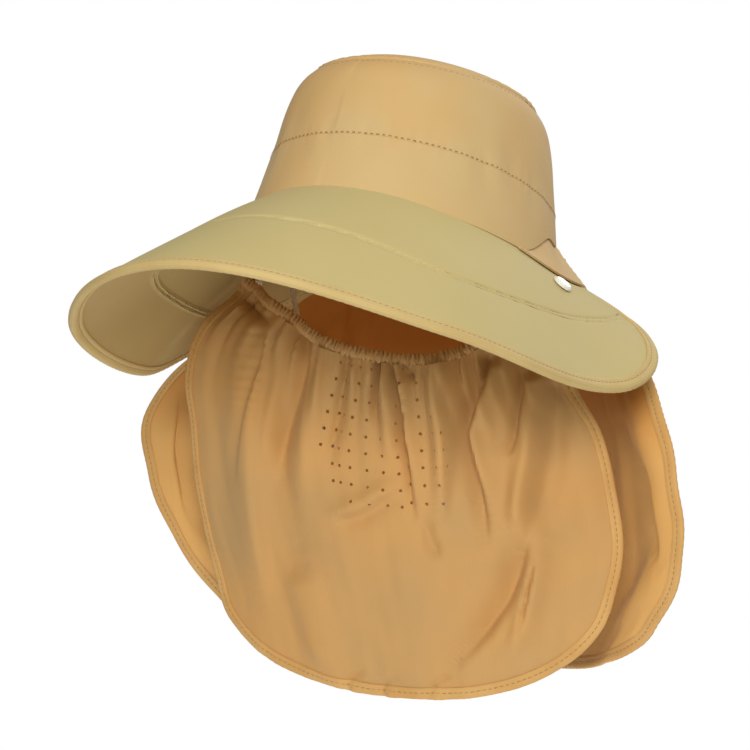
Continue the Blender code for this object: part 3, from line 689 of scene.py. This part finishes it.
def cloth_material(name, colour, shade, drift, weave=2600.0, painted_shade_colour=None):
    material, tree, shader = new_material(name, 0.72)
    fill(shader, Sheen_Weight=0.06, Sheen_Roughness=0.45, Sheen_Tint=(1.0, 0.93, 0.78, 1))
    fill(shader, Specular_IOR_Level=0.25)
    link = tree.links.new
    place = add(tree, "TexCoord").outputs["Object"]
    uv = add(tree, "UVMap")
    uv.uv_map = "cloth"
    clouds = add(tree, "TexNoise", Scale=drift, Detail=3.0)
    link(place, clouds.inputs["Vector"])
    tint = colour_ramp(tree, clouds.outputs["Fac"], (0.36, shade), (0.62, colour))
    woven = add(tree, "Math")
    woven.operation = "MULTIPLY"
    for k, direction in enumerate(("X", "Y")):
        wave = add(tree, "TexWave", Scale=weave / 6.283, Distortion=0.6, Detail=1.0)
        wave.wave_type = "BANDS"
        wave.bands_direction = direction
        link(uv.outputs["UV"], wave.inputs["Vector"])
        link(wave.outputs["Fac"], woven.inputs[k])
    dark = add(tree, "MapRange", From_Min=0.0, From_Max=1.0, To_Min=0.92, To_Max=1.02)
    link(woven.outputs[0], dark.inputs["Value"])
    tone = add(tree, "MixRGB", Fac=1.0)
    tone.blend_type = "MULTIPLY"
    link(tint, tone.inputs["Color1"])
    link(dark.outputs["Result"], tone.inputs["Color2"])
    base = tone.outputs["Color"]
    # painted shade, for a material that is given a colour for it
    if painted_shade_colour is not None:
        base = painted_shade_up_to_crown(tree, place, base, painted_shade_colour)
    link(base, shader.inputs["Base Color"])
    slub = add(tree, "TexNoise", Scale=420.0, Detail=2.0)
    link(place, slub.inputs["Vector"])
    fine = relief(tree, woven.outputs[0], 0.11, 0.0002)
    coarse = relief(tree, slub.outputs["Fac"], 0.16, 0.0004)
    link(fine.outputs["Normal"], coarse.inputs["Normal"])
    link(coarse.outputs["Normal"], shader.inputs["Normal"])
    return material


def plain_material(name, colour, rough, scale, strength=0.1, coat=0.0):
    material, tree, shader = new_material(name, rough)
    fill(shader, Coat_Weight=coat)
    noise = add(tree, "TexNoise", Scale=scale)
    tree.links.new(add(tree, "TexCoord").outputs["Object"], noise.inputs["Vector"])
    darker = [c * 0.93 for c in colour]
    tint = colour_ramp(tree, noise.outputs["Fac"], (0.3, darker), (0.7, colour))
    tree.links.new(tint, shader.inputs["Base Color"])
    grain = relief(tree, noise.outputs["Fac"], strength, 0.0003)
    tree.links.new(grain.outputs["Normal"], shader.inputs["Normal"])
    return material


def linear(r, g, b):
    """A colour seen on screen, 0 to 255, as the shader's linear colour."""
    return tuple((c / 255) ** 2.2 for c in (r, g, b))


CROWN = cloth_material("crown_cloth", linear(206, 176, 122), linear(208, 168, 108), drift=13.0)
VISOR = cloth_material("visor_cloth", linear(200, 182, 124), linear(194, 176, 116), drift=7.0)
VISOR_TAPE = cloth_material("visor_tape", linear(206, 180, 120), linear(198, 170, 110), drift=20.0)
# A darker copy of the visor's cloth for its faces that point down: painted shade under the visor.
VISOR_UNDERSIDE_PAINTED_SHADE = cloth_material("visor_underside_painted_shade", linear(186, 160, 104), linear(176, 150, 94), drift=7.0)
VEIL = cloth_material("veil_cloth", linear(206, 156, 94), linear(194, 153, 98), drift=14.0)
VEIL_TAPE = cloth_material("veil_tape", linear(212, 166, 102), linear(204, 156, 92), drift=30.0, weave=3400.0)
# The inner faces: a brighter copy of the veil's cloth, which is painted light, deepened from the flap's
# middle up into the crown, which is painted shade.
INNER_FACE_PAINTED_LIGHT_AND_SHADE = cloth_material(
    "inner_face_painted_light_and_shade", linear(228, 176, 106), linear(220, 168, 98), drift=8.0, painted_shade_colour=linear(184, 112, 36)
)
# The visor's thread, lighter than its cloth: a painted highlight on the raised stitches.
VISOR_THREAD_PAINTED_HIGHLIGHT = plain_material("sewing_thread_painted_highlight", linear(222, 204, 148), 0.6, scale=900.0)
# Thread darker than the cloth it sews: painted shade of the needle holes.
SEAM_THREAD_PAINTED_SHADE = plain_material("seam_thread_painted_shade", linear(176, 142, 90), 0.6, scale=900.0)
ELASTIC = plain_material("white_knit", linear(240, 240, 232), 0.7, scale=900.0, strength=0.6)
PLASTIC = plain_material("snap_white", linear(240, 240, 228), 0.35, scale=60.0, strength=0.02, coat=0.3)

# Crown pieces


def ring(count):
    return np.linspace(0, 2 * math.pi, count, endpoint=False)


SHOULDER = 0.014


def crown_push(angle, height):
    """How far the crown's cloth stands in or out of the plain form: shoulder, puckers and soft dents."""
    metres = angle * 0.088
    push = -0.0010 + 0.0008 * smooth_noise(metres, height, 0.13, 0.10, 36)
    push = push + 0.00030 * smooth_noise(metres, height, 0.045, 0.05, 35)
    push = push - 0.0036 * np.clip((height - TIP_SEAM + SHOULDER) / SHOULDER, 0, 1) ** 2
    uneven = 0.55 + 0.45 * smooth_noise(metres, 0 * metres, 0.07, 1.0, 37)
    pucker = smooth_noise(metres, height, 0.0075, 0.10, 38) * uneven
    for seam in (band_seam(angle), TIP_SEAM):
        push = push + 0.00040 * pucker * np.exp(-(((height - seam) / 0.0055) ** 2))
    drag = smooth_noise(metres, height, 0.020, 0.06, 39)
    return push + 0.00045 * drag * np.exp(-(((height - band_seam(angle)) / 0.016) ** 2))


def crown_surface(angle, height, lift=0.0):
    """The dressed crown: (points, unit vectors outward)."""
    base = crown_point(angle, height)
    inner = crown_point(angle, height, 0.5 * read(CROWN_PROFILE, height / TIP_SEAM, 1))
    out = unit(base - inner)
    return base + out * (crown_push(angle, height) + lift)[..., None], out


def crown_grid(low, high, rows, columns, tuck):
    """A panel of the crown between two heights, its top edge tucked under the next panel."""
    angle = ring(columns)[None, :]
    share = np.linspace(0, 1, rows)[:, None]
    height = low(angle) * (1 - share) + high(angle) * share
    lift = tuck * np.exp(-(((high(angle) - height) / 0.0022) ** 2))
    return crown_surface(angle + 0 * share, height, lift)[0]


def tip_grid():
    share = np.concatenate([[-0.012, -0.004], np.linspace(0.004, 0.97, 44) ** 1.15])[:, None]
    angle = ring(240)[None, :]
    rise = np.sin(math.pi / 2 * np.clip(share, 0, 1) ** 0.80)
    height = TIP_SEAM + 0.0004 + (CROWN_HEIGHT - TIP_SEAM - 0.0004) * rise + np.minimum(share, 0) * 0.13
    pull = 1 - 0.0040 / 0.070
    breadth = read(CROWN_PROFILE, 1.0, 1) * pull * (1 - np.clip(share, 0, 1))
    tip = crown_point(angle, height, breadth)
    metres = angle * 0.068
    near = np.exp(-((share * 0.065 / 0.007) ** 2))
    pucker = smooth_noise(metres, share * 0.065, 0.0075, 0.05, 41)
    sag = smooth_noise(tip[..., 0], tip[..., 1], 0.12, 0.12, 42)
    dip = -0.00036 * np.exp(-(((share - 0.10) * 0.065 / 0.006) ** 2))
    lift = 0.00042 * pucker * near + 0.0010 * sag * (1 - near) + dip
    return tip + lift[..., None] * tilted(0, 0, 1.0)


def dress_crown():
    band = crown_grid(lambda a: band_foot(a) - GAP, lambda a: band_seam(a) + 0.0018, 34, 420, -0.0006)
    side = crown_grid(lambda a: band_seam(a) - 0.0006, lambda a: TIP_SEAM + 0 * a, 56, 420, -0.0009)
    piece = wall("crown_band_cloth", band, CROWN_CLOTH, CROWN, closed=True)
    # the band's inner faces take the inner-face copy: painted light, and painted shade all round inside the
    # crown
    second_face(piece, INNER_FACE_PAINTED_LIGHT_AND_SHADE, facing_head)
    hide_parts("crown_band")
    piece = wall("crown_side_cloth", side, CROWN_CLOTH, CROWN, closed=True)
    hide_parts("crown_side")
    tip = tip_grid()
    piece = wall("crown_tip_cloth", tip, CROWN_CLOTH, CROWN, closed=True, top=tip[-1].mean(0))
    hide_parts("crown_tip")
    angle = np.linspace(0, 2 * math.pi, 700)
    rows = []
    for height, lift in ((band_seam(angle) + 0.0002, 0.0002), (TIP_SEAM - 0.0030 + 0 * angle, 0.0)):
        path, out = crown_surface(angle, height, lift)
        rows.append((path + out * (CROWN_CLOTH / 2 + 0.00005), out))
    # the seam thread's darker colour is painted shade
    piece = stitches("crown_stitching", rows, SEAM_THREAD_PAINTED_SHADE, length=0.0016, gap=0.0017, width=0.00065)


def second_face(piece, material, chosen):
    """Gives the faces that are chosen by their normals and centres their own material."""
    piece.data.materials.append(material)
    faces = piece.data.polygons
    normal, centre = np.empty(len(faces) * 3, np.float32), np.empty(len(faces) * 3, np.float32)
    faces.foreach_get("normal", normal)
    faces.foreach_get("center", centre)
    index = chosen(normal.reshape(-1, 3), centre.reshape(-1, 3)).astype(np.int32)
    faces.foreach_set("material_index", index)


def facing_down(normal, centre):
    return normal[:, 2] < 0


def facing_head(normal, centre):
    return np.sum(normal[:, :2] * centre[:, :2], axis=1) < 0


# The pair of sewn rows: how far out from the crown they lie at each turn, and how far apart
SEWN_ROW = np.array([
    # turn, distance
    (-0.30, 0.0625),
    (0.00, 0.0625),
    (0.20, 0.0628),
    (0.38, 0.0650),
    (0.60, 0.0550),
    (0.82, 0.0482),
    (1.00, 0.0460),
])
SEWN_ROWS = (-0.00130, 0.00130)


def visor_row(angle, aside):
    return read(SEWN_ROW, np.abs(angle) / VISOR_END, 1) + aside


def visor_surface(angle, distance):
    """The dressed visor's middle surface and its unit vectors upward."""
    base = visor_point(angle, distance)
    ahead = visor_point(angle + 0.004, distance) - visor_point(angle - 0.004, distance)
    out = visor_point(angle, distance + 0.0005) - visor_point(angle, distance - 0.0005)
    up = unit(np.cross(out, ahead))
    up = np.where(up[..., 2:] < 0, -up, up)
    width = visor_frame(angle)[2]
    metres = angle * 0.16
    push = 0
    for at in SEWN_ROWS:
        off = (distance - visor_row(angle, at)) / 0.0008
        push = push - 0.00095 * np.exp(-(off**2))
    edge = (width - VISOR_BINDING - distance) / 0.004
    push = push + 0.00016 * smooth_noise(metres, distance, 0.010, 0.06, 51) * np.exp(-(edge**2))
    calm = smooth_noise(metres, distance, 0.16, 0.12, 52) * np.sin(math.pi * np.clip(distance / width, 0, 1))
    push = push + 0.0007 * calm
    return base + up * push[..., None], up


def dress_visor():
    columns, rows = 260, 120
    angle = VISOR_END * np.linspace(-1, 1, columns)[None, :]
    share = np.linspace(0, 1, rows)[:, None]
    width = visor_frame(angle)[2]
    distance = (width - VISOR_BINDING + VISOR_TUCK) * share - VISOR_TUCK
    grid, _ = visor_surface(angle + 0 * share, distance)
    piece = wall("visor_cloth", grid, VISOR_WALL, VISOR)
    # the faces that point down take the darker copy: painted shade
    second_face(piece, VISOR_UNDERSIDE_PAINTED_SHADE, facing_down)
    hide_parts("visor")
    rows = []
    line = VISOR_END * np.linspace(-0.999, 0.999, 1400)
    width = visor_frame(line)[2]
    for at in SEWN_ROWS:
        distance = visor_row(line, at)
        inside = distance < width - VISOR_BINDING - 0.0004
        path, up = visor_surface(line[inside], distance[inside])
        for side in (1, -1):
            rows.append((path + up * side * (VISOR_WALL / 2 + 0.00005), up * side))
    # the thread's lighter colour is a painted highlight
    piece = stitches("visor_stitching", rows, VISOR_THREAD_PAINTED_HIGHLIGHT, length=0.0024, gap=0.0011, width=0.00066)


def edge_path(grid, first=0):
    rows, columns = grid.shape[:2]
    n = normals_of(grid, False)
    route = [(r, 0) for r in range(first, rows)]
    route += [(rows - 1, c) for c in range(1, columns)]
    route += [(r, columns - 1) for r in range(rows - 2, first - 1, -1)]
    path = np.array([grid[r, c] for r, c in route])
    normal = np.array([n[r, c] for r, c in route])
    out = unit(np.cross(np.gradient(path, axis=0), normal))
    if np.sum((path - grid.reshape(-1, 3).mean(0)) * out) < 0:
        out = -out
    return path, out, normal


def dress_binding(name, grid, width, height, node, seed, tape, pucker, first=0):
    path, out, normal = edge_path(grid, first)
    path, out, normal = resample(path, TAPE_STEP, out, normal)
    for _ in range(6):
        out[1:-1] = (out[:-2] + 2 * out[1:-1] + out[2:]) / 4
        normal[1:-1] = (normal[:-2] + 2 * normal[1:-1] + normal[2:]) / 4
    out, normal = unit(out), unit(normal)
    travelled = np.arange(len(path)) * TAPE_STEP
    calm = 0.35 + 0.65 * ease(0.5 + 0.9 * smooth_noise(travelled, 0 * travelled, 0.12, 1.0, seed + 2))
    lap = 0.0011
    shape = (
        (-lap, 0.80), (-lap * 0.4, 1.0), (0.0010, 0.92), (0.0017, 0.80), (0.0026, 0.97),
        (width * 0.70, 1.0), (width * 0.93, 0.66), (width, 0.0),
    )
    shape = shape + tuple((a, -b) for a, b in shape[-2::-1])

    def profile(i):
        made = []
        for a, b in shape:
            # the puckers run aslant across the tape
            s = travelled[i] + 0.45 * a
            twist = math.sin(6.283 * s / 0.0042 + 2.2 * math.sin(s / 0.011 + seed)) * calm[i]
            share = min(max(a / width, 0.0), 1.0)
            belly = math.sin(math.pi * share) + 0.35 * share
            sign = 1 if b >= 0 else -1
            rise = pucker * twist * belly * (0.6 + 0.4 * sign)
            made.append((a * (1 + 0.02 * twist), b * height / 2 + rise))
        return made

    piece = tube(name, path, out, normal, profile, tape)
    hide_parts(node)
    rows = []
    for side in (1, -1):
        lift = normal * side * (height / 2 * 0.80 + 0.00012) + out * 0.0017
        rows.append((path + lift, normal * side))
    # the seam thread's darker colour is painted shade
    thread = stitches(name + "_stitching", rows, SEAM_THREAD_PAINTED_SHADE, length=0.0019, gap=0.0013, width=0.00042)
    total = float(np.linalg.norm(np.diff(path, axis=0), axis=1).sum())
    return piece, total


def dress_visor_binding():
    columns, rows = 200, 12
    angle = VISOR_END * np.linspace(-1, 1, columns)[None, :]
    share = np.linspace(0, 1, rows)[:, None]
    width = visor_frame(angle)[2]
    grid = visor_point(angle + 0 * share, (width - VISOR_BINDING) * share)
    piece, total = dress_binding(
        "visor_binding_tape", grid, VISOR_BINDING, VISOR_TAPE_HEIGHT, "visor_binding", 61, VISOR_TAPE,
        pucker=0.00010, first=3,
    )


# The flap's sewn-in top edge: heights above the rear seam, and breadths beside the crown's
FLAP_TUCK = ((0.0040, 0.940), (-0.0008, 0.962))


def dress_flap():
    columns, rows = 250, 150
    place = np.linspace(-1, 1, columns)[None, :]
    down = (np.linspace(0, 1, rows)[:, None]) ** 1.15
    grid = flap_point(place + 0 * down, down + 0 * place)
    rim = [crown_point(flap_angle(place), REAR_SEAM + rise, breadth) for rise, breadth in FLAP_TUCK]
    piece = wall("neck_flap_cloth", np.concatenate([*rim, grid[1:]]), VEIL_CLOTH, VEIL)
    # the flap's inner face takes the inner-face copy: painted light, and painted shade toward the crown
    second_face(piece, INNER_FACE_PAINTED_LIGHT_AND_SHADE, facing_head)
    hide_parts("neck_flap")
    tape, total = dress_binding(
        "neck_flap_tape", grid, TAPE_WIDTH, TAPE_HEIGHT, "neck_flap_binding", 71, VEIL_TAPE,
        pucker=0.0006, first=16,
    )


# The holes: columns in steps of the lattice from the middle, and each row's first column and count
HOLE_STEP = 0.08
HOLE_COLUMNS = (-3.75, -3.15, -2.70, -2.05, -1.00, 0.00, 0.90, 1.45, 2.45, 3.45, 3.95)
HOLE_ROWS = ((0, 8), (0, 9), (0, 9), (0, 10), (0, 11), (0, 11), (1, 10), (1, 9), (3, 7))
HOLE_ROW_STEP = 0.0508
HOLE_RADIUS = 0.00095
FINE = 4


def veil_lines():
    """The grid's columns, close about each column of holes, and which of them run through holes."""
    middle = np.array(HOLE_COLUMNS) * HOLE_STEP
    between = (middle[1:] + middle[:-1]) / 2
    borders = np.concatenate([[middle[0] - HOLE_STEP / 2], between, [middle[-1] + HOLE_STEP / 2]])
    lines, centres = [], []
    for k, centre in enumerate(middle):
        lines += list(np.linspace(borders[k], centre, FINE, endpoint=False))
        centres.append(len(lines))
        lines += list(np.linspace(centre, borders[k + 1], FINE, endpoint=False))
    before = np.linspace(-1, borders[0], 66)[:-1]
    after = np.linspace(borders[-1], 1, 66)
    return np.concatenate([before, lines, after]), [c + len(before) for c in centres]


def veil_cloth(place, down):
    """The cloth's threads, drawn together by the gather and slipped up on the left of the middle fold."""
    draw = 0.35 * np.clip(1 - down / 0.28, 0, 1) * np.where(place < 0, 1.0, 0.0)
    slip = ease((place - 0.075) / 0.035) * (1 - ease((place - 0.5) / 0.3))
    lift = 0.024 * slip * np.clip(down / 0.06, 0, 1) * (1 - ease((down - 0.30) / 0.30))
    return place * (1 - draw * (1 - place**2) ** 2), down - lift


def dress_veil():
    columns, centres = veil_lines()
    fine_rows = 2 * FINE * len(HOLE_ROWS)
    upper = np.arange(fine_rows + 1) / (2 * FINE) * HOLE_ROW_STEP
    lower = np.linspace(upper[-1], 1, 84)[1:]
    down = np.concatenate([upper, lower])[:, None]
    place, down = veil_cloth(columns[None, :] + 0 * down, down + 0 * columns[None, :])
    grid = veil_point(place, down)
    holes = [
        (int(2 * FINE * (r + 0.5)), centres[first + k])
        for r, (first, count) in enumerate(HOLE_ROWS)
        for k in range(count)
    ]
    piece = wall("face_veil_cloth", grid, VEIL_CLOTH, VEIL, holes=holes, radius=HOLE_RADIUS)
    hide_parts("face_veil")
    area = area_of(grid)
    tape, total = dress_binding(
        "face_veil_tape", grid, TAPE_WIDTH, TAPE_HEIGHT, "face_veil_binding", 81, VEIL_TAPE, pucker=0.0006
    )
    return piece, tape, area


CASING_RADIUS = 0.0021
CASING_RISE = 0.0024
CASING_SIDES = 16


def dress_casing():
    """Cloth bunched on an elastic: a fat cord of many small pleats, with a frill that stands above it."""
    steps = 900
    place = np.linspace(-0.998, 0.998, steps)
    top = veil_point(place, 0 * place, detail=False)
    tangent = unit(np.gradient(top, axis=0))
    side = unit(np.cross(tangent, (0, 0, 1.0)))
    up = np.cross(side, tangent)
    path = top + up * CASING_RISE
    travelled = np.concatenate([[0], np.cumsum(np.linalg.norm(np.diff(path, axis=0), axis=1))])
    warp = travelled + 0.0006 * smooth_noise(travelled, 0 * travelled, 0.006, 1, 92)
    pleat = np.sin(2 * math.pi * warp / 0.0019)
    pleat2 = np.sin(2 * math.pi * warp / 0.0031 + 1.0)
    stray = smooth_noise(travelled, 0 * travelled, 0.01, 1, 93)
    frill = 0.5 + 0.5 * np.sin(2 * math.pi * warp / 0.0026 + 0.8 * stray)

    def profile(i):
        made = []
        for k in range(CASING_SIDES):
            a = 2 * math.pi * k / CASING_SIDES
            lift = max(0.0, math.sin(a)) ** 3
            drop = max(0.0, -math.sin(a)) ** 3
            radius = CASING_RADIUS + 0.00055 * pleat[i] * abs(math.cos(a)) + 0.00030 * pleat2[i]
            radius += 0.0021 * lift * frill[i] + 0.0012 * drop * (1 - frill[i])
            flat = 0.82 if lift > 0.2 else 1.0
            made.append((radius * math.cos(a) * flat + 0.0004 * pleat2[i] * lift, radius * math.sin(a)))
        return made

    piece = tube("veil_casing_gathers", path, side, up, profile, VEIL)
    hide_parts("veil_casing")
    return piece


# The flap's folded corners: where they start, how far round they run, and how far out on the visor they reach
CORNER_FROM = math.radians(78)
CORNER_SPAN = math.radians(35.5)
CORNER_REACH = 0.0150
CORNER_JOIN = 0.070


def dress_corners():
    lift = VISOR_WALL / 2 + 0.0012
    for side, name in ((-1, "right"), (1, "left")):
        i = np.linspace(0, 1, 50)[None, :]
        share = np.linspace(0, 1, 30)[:, None]
        angle = CORNER_FROM + CORNER_SPAN * i
        top = crown_surface(angle, band_foot(angle) + 0.0020, -0.0020)[0]
        reach = 0.0012 + CORNER_REACH * i**1.1
        on = visor_point(angle, reach)
        ahead = on - visor_point(angle - 0.05, reach)
        out = visor_point(angle, reach + 0.004) - on
        normal = unit(np.cross(out, ahead))
        normal = np.where(normal[..., 2:] > 0, normal, -normal)
        foot = on + normal * lift
        s = share[..., None]
        radial = tilted(np.sin(angle), -np.cos(angle), 0 * angle)
        sag = -0.0022 * np.sin(math.pi * share) * i
        grid = top * (1 - s) + foot * s + radial * sag[..., None]
        wrinkle = 0.0005 * i * np.sin(i * 11 + share * 3) * np.sin(math.pi * share)
        grid = grid + radial * wrinkle[..., None]
        # a strip of the same cloth runs on to the flap's edge
        edge = flap_point(0 * share + side, CORNER_JOIN * share) * (side, 1, 1)
        strip = [grid[:, -1:] * (1 - t) + edge * t for t in np.linspace(0, 1, 8)[1:]]
        grid = np.concatenate([grid, *strip], axis=1) * (side, 1, 1)
        piece = wall("flap_corner_cloth_" + name, grid, CORNER_CLOTH, CROWN)
        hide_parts("flap_corner_" + name)


def finish_kept():
    """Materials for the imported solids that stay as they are."""
    for node, material in (
        ("chin_strap", ELASTIC),
        ("veil_hanger_left", ELASTIC),
        ("veil_hanger_right", ELASTIC),
        ("snap_button_left", PLASTIC),
        ("snap_button_right", PLASTIC),
    ):
        kept = bpy.data.objects[node]
        for slot in kept.material_slots:
            slot.material = material
        if not kept.material_slots:
            kept.data.materials.append(material)


def light(name, place, target, size, power, colour):
    lamp = bpy.data.lights.new(name, "AREA")
    lamp.shape = "SQUARE"
    lamp.size = size
    lamp.energy = power
    lamp.color = colour
    holder = bpy.data.objects.new(name, lamp)
    holder.location = place
    holder.rotation_mode = "QUATERNION"
    holder.rotation_quaternion = (Vector(target) - Vector(place)).to_track_quat("-Z", "Y")
    bpy.context.scene.collection.objects.link(holder)


AMBIENT = 0.25
WHITE = (1.0, 1.0, 1.0, 1)
LIGHTS = (
    # name, place, aimed at, size, watts, colour
    ("key", (0.88, -1.60, 0.50), (0, 0, -0.08), 0.7, 24, (1.0, 0.985, 0.96)),
    ("fill", (-1.7, -0.9, 0.6), (0, 0, 0), 0.8, 3, (0.98, 0.99, 1.0)),
    ("top", (0.8, -0.6, 1.8), (0, 0, 0), 0.9, 11, (1.0, 0.99, 0.97)),
    ("rear", (0.3, 1.7, 0.9), (0, 0, 0), 1.2, 14, (1.0, 1.0, 1.0)),
)
FLOOR_SPAN = 0.9
FLOOR_HEIGHT = -0.62


def sky():
    """White as the camera sees it, and dimmer as a light, so that folds keep their shade."""
    scene = bpy.context.scene
    scene.world = scene.world or bpy.data.worlds.new("studio")
    scene.world.use_nodes = True
    tree = scene.world.node_tree
    around = fill(tree.nodes.get("Background"), Color=WHITE, Strength=AMBIENT)
    behind = add(tree, "Background", Color=WHITE, Strength=1.0)
    ray, mix = add(tree, "LightPath"), add(tree, "MixShader")
    tree.links.new(ray.outputs["Is Camera Ray"], mix.inputs[0])
    tree.links.new(around.outputs[0], mix.inputs[1])
    tree.links.new(behind.outputs[0], mix.inputs[2])
    tree.links.new(mix.outputs[0], tree.nodes.get("World Output").inputs["Surface"])
    scene.view_settings.view_transform = "Standard"


def pale_floor():
    mesh = bpy.data.meshes.new("floor")
    corners = [(FLOOR_SPAN * math.cos(a), FLOOR_SPAN * math.sin(a), FLOOR_HEIGHT) for a in ring(64)]
    mesh.from_pydata(corners, [], [tuple(range(len(corners)))])
    material, _, shader = new_material("pale_floor", 0.9)
    fill(shader, Base_Color=(0.95, 0.95, 0.95, 1), Emission_Color=WHITE, Emission_Strength=0.35)
    mesh.materials.append(material)
    floor = bpy.data.objects.new("floor", mesh)
    bpy.context.scene.collection.objects.link(floor)


CAMERA_LENS = 131.0
AIM_DOWN = 0.0725
AIM_SIDE = -0.0166


def camera():
    c, s = math.cos(PHOTO_RISE), math.sin(PHOTO_RISE)
    back = Vector((math.sin(PHOTO_TURN) * c, -math.cos(PHOTO_TURN) * c, s))
    right = Vector((math.cos(PHOTO_TURN), math.sin(PHOTO_TURN), 0))
    target = right * AIM_SIDE - Vector((0, 0, AIM_DOWN))
    data = bpy.data.cameras.new("camera")
    data.lens = CAMERA_LENS
    data.sensor_width = 36
    data.clip_start, data.clip_end = 0.05, 50
    cam = bpy.data.objects.new("camera", data)
    cam.location = back * PHOTO_AWAY
    cam.rotation_mode = "QUATERNION"
    cam.rotation_quaternion = (target - cam.location).to_track_quat("-Z", "Y")
    bpy.context.scene.collection.objects.link(cam)
    bpy.context.scene.camera = cam


camera()
sky()
for row in LIGHTS:
    light(*row)
pale_floor()
dress_crown()
dress_visor()
dress_visor_binding()
dress_corners()
dress_flap()
veil, veil_tape, veil_area = dress_veil()
gathers = dress_casing()
min(veil_area, 0.34 * 0.21)
finish_kept()
